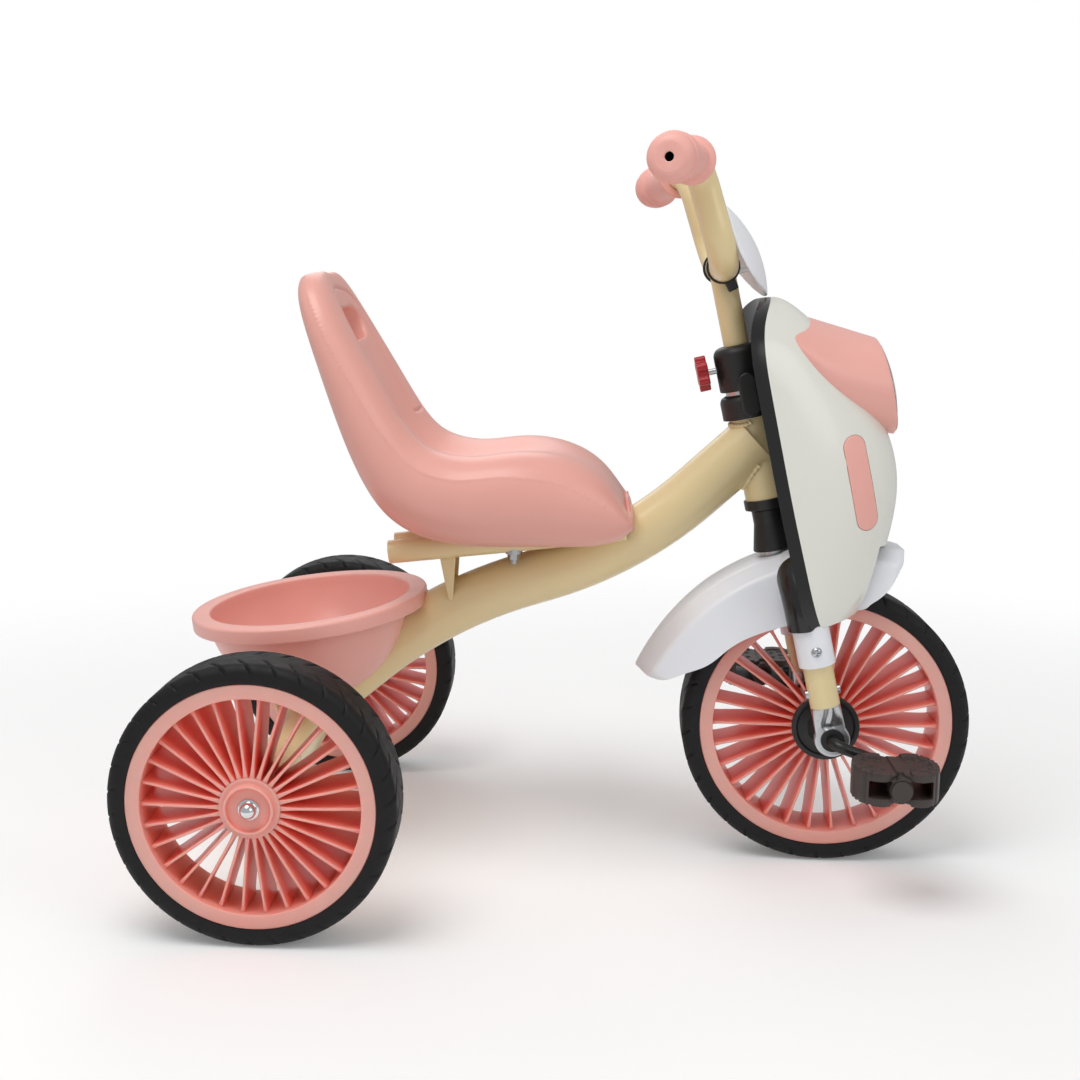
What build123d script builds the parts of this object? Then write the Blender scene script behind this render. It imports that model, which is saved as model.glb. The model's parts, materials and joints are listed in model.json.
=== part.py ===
from build123d import *
import os
from math import atan2, copysign, cos, hypot, radians, sin, tan

# Overall layout in millimetres: +X forward, +Y to the rider's left, +Z up, ground at Z = 0.
WHEELBASE = 470.0
TRACK = 452.0                # between the middle planes of the rear tyres
REAR_TYRE_R = 115.0
FRONT_TYRE_R = 126.0
STEER_LEAN = 12.5            # degrees that the steering axis leans back
STEER_OFFSET = 10.0          # steering axis behind the front axle

# Clearances
RUN_CLEAR = 0.05             # radial, shaft in a running hole
GAP = 0.3                    # between faces that move past each other
FIT_CLEAR = 0.25             # moulded piece round a tube or in its pocket

# Wheels
TYRE_W = 54.0
TYRE_SIDE = 15.5             # rubber showing outside the rim ring
TYRE_ROUND = 7.0             # shoulder radius
RIM_RING_W = 12.0            # flat pink ring on the wheel's face
RIM_WALL = 3.0
RIM_SET_IN = 1.0             # ring face inside the tyre's face
FIN_COUNT = 30
FIN_T = 2.2
FIN_SET_IN = 6.0             # fin edge below the rim ring
HUB_R = 24.5
HUB_COLLAR_R = 20.0
HUB_COLLAR_OUT = 4.0         # collar past the tyre's face
HUB_RECESS_R = 17.5
HUB_RECESS_DEPTH = 4.0
HUB_INNER_SET_IN = 5.0       # inner hub end inside the tyre's face
REAR_AXLE_R = 5.0
CAP_NUT_R = 6.8
CAP_NUT_BASE = 3.0
FRONT_HUB_R = 27.0
HUB_DISC_R = 29.5
HUB_DISC_T = 5.0
HUB_BOSS_R = 11.0

# Frame tubes
MAIN_TUBE_R = 24.5
MAIN_TUBE_WALL = 2.0
MAIN_REAR_SLOPE = 39.0       # degrees, from the axle tube up
MAIN_CORNER_REAR = (125.0, 227.0)
MAIN_CORNER_FRONT = (296.0, 280.0)
MAIN_BEND_REAR = 420.0
MAIN_BEND_FRONT = 350.0
MAIN_START_UP = 12.0         # tube end above the rear axle
MAIN_HEAD_AT = 51.0          # main tube's axis above the head tube's lower end
AXLE_TUBE_R = 21.0
AXLE_TUBE_WALL = 2.0
AXLE_BUSH_FLANGE = 6.0
AXLE_BUSH_DEPTH = 14.0
HEAD_TUBE_R = 18.0
HEAD_TUBE_WALL = 2.5
HEAD_BOTTOM = 209.0          # along the steering axis from the front axle
HEAD_LENGTH = 73.0
CUP_SPIGOT = 12.0
LOWER_CUP_R = 20.0
LOWER_CUP_T = 9.0
UPPER_CUP_R = 23.5
UPPER_CUP_T = 21.0
UPPER_CUP_ROUND = 5.0
RAIL_R = 10.5
RAIL_WALL = 1.5
RAIL_SOCKET = 60.0           # depth of the open rear end, down to a pressed-in stop
RAIL_STOP_T = 4.0
RAIL_REAR = (81.0, 279.0)    # open rear end of each rail, centre
RAIL_RISE = 6.0              # degrees, rising forward
RAIL_V = 23.0                # rail centre from the mid plane
RAIL_REACH = 212.0           # uncut length, the front end is coped on the main tube
GUSSET_X = 133.0
GUSSET_TOP_W = 17.0
GUSSET_FOOT_W = 4.0
GUSSET_FOOT_AHEAD = 3.0
GUSSET_DEPTH = 46.0
GUSSET_SHEET = 2.5

# Seat: ridge point, back point and half width at each rib of the moulding, with the dip's depth
SEAT_RIBS = [
    ((29.0, 527.0), (9.0, 521.0), 54.0, 2.0),
    ((43.0, 510.0), (9.0, 498.0), 85.0, 7.0),
    ((60.0, 482.0), (18.0, 467.0), 100.0, 13.0),
    ((86.0, 440.0), (33.0, 420.0), 108.0, 19.0),
    ((111.0, 402.0), (50.0, 372.0), 112.0, 24.0),
    ((136.0, 384.0), (76.0, 323.0), 114.0, 28.0),
    ((165.0, 381.0), (120.0, 294.0), 115.0, 28.0),
    ((197.0, 385.0), (187.0, 287.0), 113.0, 23.0),
    ((233.0, 380.0), (238.0, 287.0), 108.0, 15.0),
    ((267.0, 360.0), (278.0, 291.0), 100.0, 7.0),
    ((293.0, 331.0), (300.0, 300.0), 86.0, 2.0),
]
SEAT_SQUARENESS = 2.7        # ribs between an ellipse, 2, and a box
SEAT_RIB_POINTS = 28
SEAT_BOLSTER = 12.0          # from the outer wall to the start of the dip
SEAT_WALL = 4.0
HAND_SLOT_L = 84.0
HAND_SLOT_W = 30.0
SEAT_HOLLOW_FROM = 3         # first rib of the hollow, below the hand slot
HAND_SLOT_AT = (39.0, 477.0)
HAND_SLOT_TILT = 30.0        # degrees that the slot's axis rises forward
SEAT_BOLT_R = 3.0
SEAT_BOLT_X = 193.0
SEAT_BOLT_IN = 14.0          # bolt inside the seat's moulded insert
SEAT_INSERT_R = 9.0          # solid post round each bolt
SEAT_NUT_R = 5.8
SEAT_NUT_T = 5.0
SEAT_WASHER_R = 7.5
SEAT_WASHER_T = 1.6
SEAT_BOLT_END = 4.0          # thread showing below the nut

# Basket
BASKET_X = 4.0
BASKET_RIM_Z = 232.0
BASKET_TILT = 5.5            # degrees, front higher
BASKET_R = 94.0              # bowl fore and aft, outside, under the rim
BASKET_SPREAD = 1.26         # width across over length
BASKET_DEPTH = 92.0
BASKET_LIP = 13.0
BASKET_LIP_T = 13.0
BASKET_WALL = 3.0
BASKET_SCREW_R = 2.5
BASKET_SCREW_HEAD_R = 5.0
BASKET_SCREW_HEAD_T = 2.5
BASKET_SCREW_FROM = 38.0     # first screw along the main tube from its rear end
BASKET_SCREW_SPACE = 30.0
BASKET_SCREW_IN = 6.0        # thread inside the tube

# Fork and crank
FORK_LEG_V = 66.0            # leg centre from the mid plane
FORK_R = 12.7
FORK_WALL = 1.5
FORK_BEND = 36.0
FORK_CROWN = 146.0           # crown centre above the axle
FORK_LEG_END = 31.0          # leg's lower end above the axle
FORK_PLUG = 24.0             # fork end inside the leg
FORK_EYE_R = 15.0
FORK_EYE_T = 9.0
FORK_NECK_W = 25.5
FORK_NECK = 12.5
CRANK_R = 5.0
CRANK_THROW = 45.0
CRANK_ANGLE = -20.0          # right pin below straight ahead, degrees
CRANK_BEND = 9.0
CRANK_ARM_V = 86.0
BUSH_WALL = 2.4
BUSH_FLANGE_R = 10.0
BUSH_FLANGE_T = 1.6
RIVET_R = 2.5
RIVET_HEAD_R = 4.0
RIVET_HEAD_T = 2.0
RIVET_AT = 43.0              # rivet above the axle
STEERER_R = 12.7
STEERER_TOP = 340.0

# Pedals
PEDAL_L = 70.0               # fore and aft
PEDAL_W = 62.0               # along the pin
PEDAL_T = 24.0
PEDAL_PLATE_T = 5.0
PEDAL_WAIST = 42.0
PEDAL_WINDOW = 50.4          # open length under the tread
PEDAL_BARREL_R = 9.5
PEDAL_INNER_V = 97.0         # inner end of the pedal from the mid plane
PEDAL_CAP_R = 8.5
PEDAL_CAP_T = 4.0
PEDAL_NOTCH_W = 3.0
PEDAL_NOTCH_D = 3.0

# Fender, sleeves and crown cover
FENDER_CENTRE = (18.0, -44.0)  # middle of the arch, ahead of and above the axle
FENDER_R = 207.0
FENDER_T = 2.4
FENDER_TOP_HALF = 24.0
FENDER_SHOULDER = (11.0, 41.0)  # crease inside the top's radius and from the mid plane
FENDER_SKIRT = (60.0, 46.0)  # lowest skirt, likewise
FENDER_EDGE = [              # lower edge from tail to beak, ahead of and above the axle
    (-182.0, 56.0),
    (-160.0, 45.0),
    (-144.0, 43.0),
    (-104.0, 59.0),
    (-80.0, 79.0),
    (-30.0, 97.0),
    (20.0, 109.0),
    (46.0, 126.0),
    (60.0, 146.0),
    (66.0, 176.0),
]
SLEEVE_R = 15.6
SLEEVE_END = 68.0            # sleeve's lower end above the axle
SLEEVE_SCREW_AT = 82.0
SCREW_HEAD_R = 4.5
SCREW_HEAD_T = 2.0
SCREW_R = 2.0
COVER_FOOT_R = 20.0
COVER_NECK_R = 15.0
COVER_FOOT_H = 24.0

# Stem sleeve and clamp
WASHER_R = 17.0
WASHER_T = 3.4
STEM_SLEEVE_R = 21.5
STEM_SLEEVE_H = 39.0
STEM_SLEEVE_ROUND = 8.0
CLAMP_AT = 327.0
CLAMP_BOLT_R = 2.8
KNOB_R = 15.5
KNOB_T = 9.5
KNOB_LOBES = 6
KNOB_STAND_OFF = 7.0

# Handlebar in the leaning frame: forward, left, along the steering axis
STEM_R = 11.0
STEM_WALL = 1.5
STEM_BOTTOM = 232.0
BAR_R = 12.5
BAR_WALL = 1.5
BAR_LOW = 413.0
BAR_HIGH = 501.0
BAR_ARM_V = 58.0
BAR_ARM_BACK = 7.0           # arm top behind arm foot
BAR_SWEEP = 13.0             # degrees that the grips sweep back
BAR_BEND_LOW = 34.0
BAR_BEND_HIGH = 26.0
GRIP_START_V = 84.0
GRIP_L = 104.0
GRIP_R = 14.8
GRIP_FLANGE_R = 19.5
GRIP_FLANGE_T = 5.0
GRIP_BULB_R = 19.5
GRIP_BULB_L = 30.0
GRIP_RINGS = 3
GRIP_RING_PITCH = 5.0
GRIP_RING_DEPTH = 0.9
GRIP_HOLE_R = 4.0
GRIP_END_T = 4.0
VISOR_HALF_H = 43.0
VISOR_HALF_W = 57.0
VISOR_SPHERE_R = 104.0
VISOR_T = 2.4
VISOR_AT = (22.0, 425.0)     # dish front, forward and along the axis
VISOR_LEAN = 14.0
STALK_R = 2.6
STALK_V = 21.0
STALK_AT = 407.0
TIE_W = 5.0
TIE_T = 1.4
TIE_HEAD = (7.0, 9.0, 8.0)

# Cowl: height on the steering axis, half width and front reach at each rib
COWL_RIBS = [
    (101.0, 86.0, 52.0),
    (125.0, 89.0, 70.0),
    (160.0, 90.0, 88.0),
    (198.0, 91.0, 101.0),
    (245.0, 91.0, 101.0),
    (300.0, 91.0, 83.0),
    (340.0, 89.0, 63.0),
    (362.0, 80.0, 48.0),
    (376.0, 56.0, 34.0),
    (380.0, 30.0, 18.0),
]
COWL_RIB_POINTS = 28
COWL_WALL = 2.5
COWL_BACK_AT = 16.0          # middle of the back, ahead of the axle's lean line
COWL_BACK_R = 182.0          # the back's hollow
COWL_BACK_BAND = 9.0
COWL_BACK_T = 2.5
COWL_MIDDLE = -30.0          # the ribs' widest place, behind the back's hollow
COWL_FULLNESS = 2.3
CLIP_W = 15.0
CLIP_H = 38.0
CLIP_T = 11.0
CLIP_AT = 303.0
CLIP_BOSS_R = 5.0
COWL_SCREW_AT = (185.0, 235.0, 330.0)
COWL_SCREW_V = 80.0
COWL_SCREW_IN = 12.0         # screw ahead of the back plate
COWL_BOSS_R = 5.0
COWL_CLEAR = 3.5             # round the fender
LEG_CLEAR = 0.6              # round the fork sleeves
ACCENT_L = 82.0
ACCENT_W = 20.0
ACCENT_AT = (63.0, 214.0)
ACCENT_LIP = 3.0
ACCENT_LIP_T = 1.5
ACCENT_PROUD = 0.8           # accent's face past the cowl's face
LAMP_AT = 283.0              # lamp axis on the steering axis
LAMP_FRONT = 106.0
LAMP_ROOT = 28.0
LAMP_HALF_H = 42.5
LAMP_HALF_W = 50.0
LAMP_RISE = 0.5              # the surround's axis rises back, per millimetre
LAMP_FLARE_H = 0.07          # and its half height and half width grow back
LAMP_FLARE_W = 0.4
LAMP_WALL = 2.5
LAMP_LAND = 7.0              # cowl left under the surround's edge
LENS_T = 2.0
LENS_DOME = 7.0
REFLECTOR_SET_IN = 4.0       # reflector's rim behind the surround's front
REFLECTOR_DEPTH = 30.0
REFLECTOR_T = 1.5
REFLECTOR_NECK_R = 8.0

REAR_X = -(WHEELBASE + FRONT_TYRE_R - REAR_TYRE_R) / 2
FRONT_X = REAR_X + WHEELBASE
HALF_TRACK = TRACK / 2
HALF_TYRE = TYRE_W / 2
HEAD_TOP = HEAD_BOTTOM + HEAD_LENGTH

# Side plane: first coordinate ahead of the rear axle, second up from the ground.
SIDE = Plane(origin=(REAR_X, 0, 0), x_dir=(1, 0, 0), z_dir=(0, -1, 0))
# Leaning frame of the steering: X ahead of the front axle, Y left, Z along the steering axis.
LEAN = radians(STEER_LEAN)
STEER = Plane(
    origin=(FRONT_X, 0, FRONT_TYRE_R),
    x_dir=(cos(LEAN), 0, sin(LEAN)),
    z_dir=(-sin(LEAN), 0, cos(LEAN)),
)
FRONT_AXLE = Pos(FRONT_X, 0, FRONT_TYRE_R)
SIDES = {"right": -1, "left": 1}
parts = {}


def rod_y(radius, low, high, x=0.0, z=0.0):
    """Solid cylinder along Y between two places."""
    return Pos(x, (low + high) / 2, z) * Rot(90, 0, 0) * Cylinder(radius, high - low)


def rod_x(radius, low, high, y=0.0, z=0.0):
    """Solid cylinder along X between two places."""
    return Pos((low + high) / 2, y, z) * Rot(0, 90, 0) * Cylinder(radius, high - low)


def post(radius, low, high, x=0.0, y=0.0):
    """Solid cylinder along Z between two heights."""
    return Pos(x, y, (low + high) / 2) * Cylinder(radius, high - low)


def turned(points):
    """Solid of revolution about Y from (radius, place along Y) corners."""
    return revolve(make_face(Polyline(*points, close=True)), Axis.Y)


def column(points, x=0.0):
    """Solid of revolution about Z from (radius, height) corners, at a place along X."""
    outline = Plane.XZ * make_face(Polyline(*points, close=True))
    return Pos(x, 0, 0) * revolve(outline, Axis.Z)


def swept(path, radius):
    """Round bar along a path."""
    start = Plane(origin=path @ 0, z_dir=path % 0)
    return sweep(start * Circle(radius), path=path)


def signed_power(value, power):
    return copysign(abs(value) ** power, value)


def oval(half_x, half_y, squareness, count):
    """Smooth closed oval about the origin, between an ellipse, 2, and a box."""
    power = 2 / squareness
    points = []
    for index in range(count):
        turn = radians(360 * (index + 0.5) / count)
        points.append((half_x * signed_power(cos(turn), power), half_y * signed_power(sin(turn), power)))
    return make_face(Spline(*points, periodic=True))


def biggest(shape):
    """Largest solid of a cut shape."""
    return max(shape.solids(), key=lambda solid: solid.volume)


def mirrored(shape):
    return mirror(shape, Plane.XZ)


# Wheels
def wheel(tyre_r, hub_profile, hub_r, bore_r):
    """Finned wheel about Y: rim channel, hub from its half profile and radial fins."""
    edge_r = tyre_r - TYRE_SIDE
    inner_r = edge_r - RIM_RING_W
    face = HALF_TYRE - RIM_SET_IN
    rim = turned([
        (inner_r, -face),
        (edge_r, -face),
        (edge_r, RIM_WALL - face),
        (inner_r + RIM_WALL, RIM_WALL - face),
        (inner_r + RIM_WALL, face - RIM_WALL),
        (edge_r, face - RIM_WALL),
        (edge_r, face),
        (inner_r, face),
    ])
    hub = turned(hub_profile)
    fin_edge = face - FIN_SET_IN
    reach = inner_r + RIM_WALL / 2
    fin = Pos((hub_r + reach) / 2 - 1, 0, 0) * Box(reach - hub_r + 2, 2 * fin_edge, FIN_T)
    fins = [Rot(0, 360 * index / FIN_COUNT, 0) * fin for index in range(FIN_COUNT)]
    body = rim.fuse(hub, *fins)
    return body - rod_y(bore_r, -2 * TYRE_W, 2 * TYRE_W)


def tyre(tyre_r):
    """Foam tyre about Y that fills the rim channel and covers the rim's edges."""
    edge_r = tyre_r - TYRE_SIDE
    floor_r = edge_r - RIM_RING_W + RIM_WALL
    channel = HALF_TYRE - RIM_SET_IN - RIM_WALL
    ring = turned([
        (edge_r, -HALF_TYRE),
        (tyre_r, -HALF_TYRE),
        (tyre_r, HALF_TYRE),
        (edge_r, HALF_TYRE),
        (edge_r, channel),
        (floor_r, channel),
        (floor_r, -channel),
        (edge_r, -channel),
    ])
    shoulders = ring.edges().filter_by(GeomType.CIRCLE).group_by(SortBy.RADIUS)[-1]
    return fillet(shoulders, TYRE_ROUND)


def rear_hub_profile():
    """Half profile of a rear hub whose outer side faces -Y."""
    outer = -HALF_TYRE - HUB_COLLAR_OUT
    shoulder = -HALF_TYRE + RIM_SET_IN
    inner = HALF_TYRE - HUB_INNER_SET_IN
    return [
        (0, outer + HUB_RECESS_DEPTH),
        (HUB_RECESS_R, outer + HUB_RECESS_DEPTH),
        (HUB_RECESS_R, outer),
        (HUB_COLLAR_R, outer),
        (HUB_COLLAR_R, shoulder),
        (HUB_R, shoulder),
        (HUB_R, inner),
        (0, inner),
    ]


HUB_FLOOR_Y = HALF_TRACK + HALF_TYRE + HUB_COLLAR_OUT - HUB_RECESS_DEPTH
HUB_INNER_Y = HALF_TRACK - HALF_TYRE + HUB_INNER_SET_IN
rear_wheel = wheel(REAR_TYRE_R, rear_hub_profile(), HUB_R, REAR_AXLE_R + RUN_CLEAR)
rear_tyre = tyre(REAR_TYRE_R)
for side, sign in SIDES.items():
    place = Pos(REAR_X, sign * HALF_TRACK, REAR_TYRE_R)
    parts[f"rear_wheel_{side}"] = place * (rear_wheel if sign < 0 else mirrored(rear_wheel))
    parts[f"rear_tyre_{side}"] = place * rear_tyre

front_hub_half = HALF_TYRE - RIM_SET_IN
front_hub_profile = [
    (0, -front_hub_half),
    (FRONT_HUB_R, -front_hub_half),
    (FRONT_HUB_R, front_hub_half),
    (0, front_hub_half),
]
parts["front_wheel"] = FRONT_AXLE * wheel(FRONT_TYRE_R, front_hub_profile, FRONT_HUB_R, CRANK_R)
parts["front_tyre"] = FRONT_AXLE * tyre(FRONT_TYRE_R)

# Rear axle with its bushes and cap nuts
bush_face = HUB_INNER_Y - GAP
tube_end = bush_face - AXLE_BUSH_FLANGE
axle_end = HUB_FLOOR_Y + GAP + CAP_NUT_BASE + CAP_NUT_R / 2
axle_place = Pos(REAR_X, 0, REAR_TYRE_R)
parts["rear_axle"] = axle_place * rod_y(REAR_AXLE_R, -axle_end, axle_end)
bush_bore = AXLE_TUBE_R - AXLE_TUBE_WALL
bush = turned([
    (REAR_AXLE_R, tube_end - AXLE_BUSH_DEPTH),
    (bush_bore, tube_end - AXLE_BUSH_DEPTH),
    (bush_bore, tube_end),
    (AXLE_TUBE_R, tube_end),
    (AXLE_TUBE_R, bush_face),
    (REAR_AXLE_R, bush_face),
])
parts["axle_bushes"] = axle_place * Compound([bush, mirrored(bush)])
nut_base = HUB_FLOOR_Y + GAP
nut = rod_y(CAP_NUT_R, nut_base, nut_base + CAP_NUT_BASE)
nut_reach = rod_y(CAP_NUT_R, nut_base, nut_base + 3 * CAP_NUT_R)
nut += Pos(0, nut_base + CAP_NUT_BASE, 0) * Sphere(CAP_NUT_R) & nut_reach
nut -= rod_y(REAR_AXLE_R, -axle_end, axle_end)
parts["axle_cap_nuts"] = axle_place * Compound([nut, mirrored(nut)])

# Frame tubes
axle_tube_solid = axle_place * rod_y(AXLE_TUBE_R, -tube_end, tube_end)
parts["rear_axle_tube"] = axle_tube_solid - axle_place * rod_y(bush_bore, -tube_end, tube_end)
head_solid = STEER * post(HEAD_TUBE_R, HEAD_BOTTOM, HEAD_TOP, x=-STEER_OFFSET)
head_bore_r = HEAD_TUBE_R - HEAD_TUBE_WALL
parts["head_tube"] = head_solid - STEER * post(head_bore_r, HEAD_BOTTOM, HEAD_TOP, x=-STEER_OFFSET)


def steer_point(forward, along):
    """Side-plane place of a point of the leaning frame's mid plane."""
    x = WHEELBASE + forward * cos(LEAN) - along * sin(LEAN)
    z = FRONT_TYRE_R + forward * sin(LEAN) + along * cos(LEAN)
    return (x, z)


main_end = steer_point(-STEER_OFFSET, HEAD_BOTTOM + MAIN_HEAD_AT)
rear_rise = tan(radians(MAIN_REAR_SLOPE))
main_start_z = REAR_TYRE_R + MAIN_START_UP
main_start = (MAIN_CORNER_REAR[0] - (MAIN_CORNER_REAR[1] - main_start_z) / rear_rise, main_start_z)
main_path = SIDE * FilletPolyline(
    main_start,
    MAIN_CORNER_REAR,
    MAIN_CORNER_FRONT,
    main_end,
    radius=[MAIN_BEND_REAR, MAIN_BEND_FRONT],
)
main_solid = swept(main_path, MAIN_TUBE_R)
main_tube = main_solid - swept(main_path, MAIN_TUBE_R - MAIN_TUBE_WALL) - axle_tube_solid - head_solid
parts["main_tube"] = biggest(main_tube)

# Seat rails and the folded gusset under them
rail_turn = radians(RAIL_RISE)
rail_front = (RAIL_REAR[0] + RAIL_REACH * cos(rail_turn), RAIL_REAR[1] + RAIL_REACH * sin(rail_turn))
rail_path = SIDE * Line(RAIL_REAR, rail_front)


def rail_bore(start, end):
    """Bore of a rail between two distances from its rear end."""
    places = []
    for along in (start, end):
        places.append((RAIL_REAR[0] + along * cos(rail_turn), RAIL_REAR[1] + along * sin(rail_turn)))
    return swept(SIDE * Line(*places), RAIL_R - RAIL_WALL)


rail_solids = {}
for side, sign in SIDES.items():
    place = Pos(0, sign * RAIL_V, 0)
    rail_solids[side] = place * swept(rail_path, RAIL_R)
    rail = rail_solids[side] - place * rail_bore(0, RAIL_SOCKET) - main_solid
    rail -= place * rail_bore(RAIL_SOCKET + RAIL_STOP_T, RAIL_REACH)
    parts[f"seat_rail_{side}"] = min(rail.solids(), key=lambda solid: solid.center().X)


def rail_height(x):
    """Height of a rail's axis at a place ahead of the rear axle."""
    return RAIL_REAR[1] + (x - RAIL_REAR[0]) * tan(rail_turn)


gusset_top = rail_height(GUSSET_X)
gusset_low = gusset_top - 2 * MAIN_TUBE_R
gusset_foot_x = GUSSET_X + GUSSET_FOOT_AHEAD
gusset_face = SIDE * make_face(Polyline(
    (GUSSET_X - GUSSET_TOP_W / 2, gusset_top),
    (GUSSET_X + GUSSET_TOP_W / 2, gusset_top),
    (gusset_foot_x + GUSSET_FOOT_W / 2, gusset_low),
    (gusset_foot_x - GUSSET_FOOT_W / 2, gusset_low),
    close=True,
))
gusset = extrude(gusset_face, GUSSET_DEPTH / 2, both=True)
gusset_core = Pos(GUSSET_SHEET, 0, 0) * extrude(gusset_face, GUSSET_DEPTH / 2 - GUSSET_SHEET, both=True)
gusset = gusset - gusset_core - main_solid
for rail_solid in rail_solids.values():
    gusset = gusset - rail_solid
parts["rail_gusset"] = biggest(gusset)


# Seat
def rib_plane(ridge, back):
    """Plane of a seat rib at its back point: X across, Y towards the ridge."""
    tilt = atan2(ridge[1] - back[1], ridge[0] - back[0])
    up = Vector(cos(tilt), 0, sin(tilt))
    return Plane(origin=(REAR_X + back[0], 0, back[1]), x_dir=(0, 1, 0), z_dir=Vector(0, 1, 0).cross(up))


def seat_rib(ridge, back, half_w, dip):
    """Closed outline of one rib: round sides, with the sitter's dip between the bolsters."""
    half_t = hypot(ridge[0] - back[0], ridge[1] - back[1]) / 2
    dip_half = half_w - SEAT_BOLSTER
    power = 2 / SEAT_SQUARENESS
    points = []
    for index in range(SEAT_RIB_POINTS):
        turn = radians(360 * (index + 0.5) / SEAT_RIB_POINTS)
        across = half_w * signed_power(cos(turn), power)
        up = half_t + half_t * signed_power(sin(turn), power)
        if sin(turn) > 0 and abs(across) < dip_half:
            up -= dip * cos(radians(90 * across / dip_half)) ** 2
        points.append((across, up))
    return rib_plane(ridge, back) * make_face(Spline(*points, periodic=True))


def hollow_rib(ridge, back, half_w, dip):
    """Outline of the moulding's hollow at one rib, under the dip and between the bolsters."""
    middle = (hypot(ridge[0] - back[0], ridge[1] - back[1]) - dip) / 2
    outline = oval(half_w - SEAT_BOLSTER, middle - SEAT_WALL, SEAT_SQUARENESS, SEAT_RIB_POINTS)
    return rib_plane(ridge, back) * Pos(0, middle) * outline


def tube_channel(half_w):
    """Flat-sided channel over the main tube's front bend, its roof along the top of the tube."""
    corner = MAIN_CORNER_FRONT
    middle = atan2(corner[1] - MAIN_CORNER_REAR[1], corner[0] - MAIN_CORNER_REAR[0])
    upper = atan2(main_end[1] - corner[1], main_end[0] - corner[0])
    lift = half_w / cos((upper - middle) / 2)
    lift_turn = (upper + middle) / 2
    roof = (corner[0] - lift * sin(lift_turn), corner[1] + lift * cos(lift_turn))
    reach = MAIN_BEND_FRONT / 2
    rear = (roof[0] - reach * cos(middle), roof[1] - reach * sin(middle))
    front = (roof[0] + reach * cos(upper), roof[1] + reach * sin(upper))
    low = rear[1] - 2 * half_w
    ridge = FilletPolyline(rear, roof, front, radius=MAIN_BEND_FRONT - half_w)
    outline = ridge + Polyline(front, (front[0], low), (rear[0], low), rear)
    return SIDE * extrude(make_face(outline), half_w, both=True)


def seat_cuts():
    """Hand slot, tube and rails that the moulding goes round."""
    slot_place = SIDE * Pos(*HAND_SLOT_AT) * Rot(0, 0, HAND_SLOT_TILT) * Rot(0, 90, 0)
    slot = SlotOverall(HAND_SLOT_L, HAND_SLOT_W)
    cuts = [slot_place * extrude(slot, 2 * SEAT_RIBS[2][2], both=True)]
    cuts.append(tube_channel(MAIN_TUBE_R + FIT_CLEAR))
    for sign in SIDES.values():
        cuts.append(Pos(0, sign * RAIL_V, 0) * swept(rail_path, RAIL_R + FIT_CLEAR))
    return cuts


seat = loft([seat_rib(*rib) for rib in SEAT_RIBS])
for cut in seat_cuts():
    seat = seat - cut
seat_hollow = loft([hollow_rib(*rib) for rib in SEAT_RIBS[SEAT_HOLLOW_FROM:-1]])
seat_floor = RAIL_REAR[1] + RAIL_R + FIT_CLEAR + SEAT_WALL
floor_place = SIDE * Pos(RAIL_REAR[0], seat_floor) * Rot(0, 0, RAIL_RISE)
below_floor = floor_place * extrude(
    Pos(0, -RAIL_REACH) * Rectangle(4 * RAIL_REACH, 2 * RAIL_REACH), RAIL_REACH, both=True)
seat_hollow = seat_hollow - below_floor
for sign in SIDES.values():
    insert_z = rail_height(SEAT_BOLT_X) + SEAT_BOLT_IN
    insert = post(SEAT_INSERT_R, insert_z - 2 * SEAT_BOLT_IN, insert_z + RAIL_R + SEAT_WALL)
    seat_hollow = seat_hollow - Pos(REAR_X + SEAT_BOLT_X, sign * RAIL_V, 0) * insert
seat_hollow = biggest(seat_hollow)
parts["seat_shell"] = seat - seat_hollow
main_clear = swept(main_path, MAIN_TUBE_R + FIT_CLEAR)

# Seat bolts with washer and nut under each rail
bolt_low = rail_height(SEAT_BOLT_X) - RAIL_R
bolt_high = rail_height(SEAT_BOLT_X) + RAIL_R + SEAT_BOLT_IN
nut_top = bolt_low - SEAT_WASHER_T
bolt_tip = nut_top - SEAT_NUT_T - SEAT_BOLT_END
bolt_x = REAR_X + SEAT_BOLT_X
seat_bolts = []
seat_nuts = []
for side, sign in SIDES.items():
    y = sign * RAIL_V
    bolt = post(SEAT_BOLT_R, bolt_tip, bolt_high, bolt_x, y)
    seat_bolts.append(bolt)
    washer = post(SEAT_WASHER_R, nut_top, bolt_low + RAIL_R / 2, bolt_x, y)
    hexagon = Pos(bolt_x, y, nut_top - SEAT_NUT_T) * extrude(RegularPolygon(SEAT_NUT_R, 6), SEAT_NUT_T)
    nut_piece = washer + hexagon - rail_solids[side] - bolt
    seat_nuts.append(nut_piece)
    parts[f"seat_rail_{side}"] -= bolt
    parts["seat_shell"] -= bolt
parts["seat_bolts"] = Compound(seat_bolts)
parts["seat_nuts"] = Compound(seat_nuts)

# Basket: a turned bowl with a folded lip, formed over the main tube
basket_place = Pos(REAR_X + BASKET_X, 0, BASKET_RIM_Z) * Rot(0, -BASKET_TILT, 0)


def bowl(inset):
    """Round-bottomed bowl below a rim plane, set in by a wall."""
    side_r = BASKET_R - inset
    depth = BASKET_DEPTH - inset
    half = sin(radians(45))
    arc = ThreePointArc((0, -depth), (side_r * half, -depth * half), (side_r, 0))
    edge = Polyline((side_r, 0), (0, 0), (0, -depth))
    return spread(revolve(Plane.XZ * make_face(arc + edge), Axis.Z))


def spread(shape):
    """Widens a round piece of the basket across."""
    return scale(shape, by=(1, BASKET_SPREAD, 1))


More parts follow.
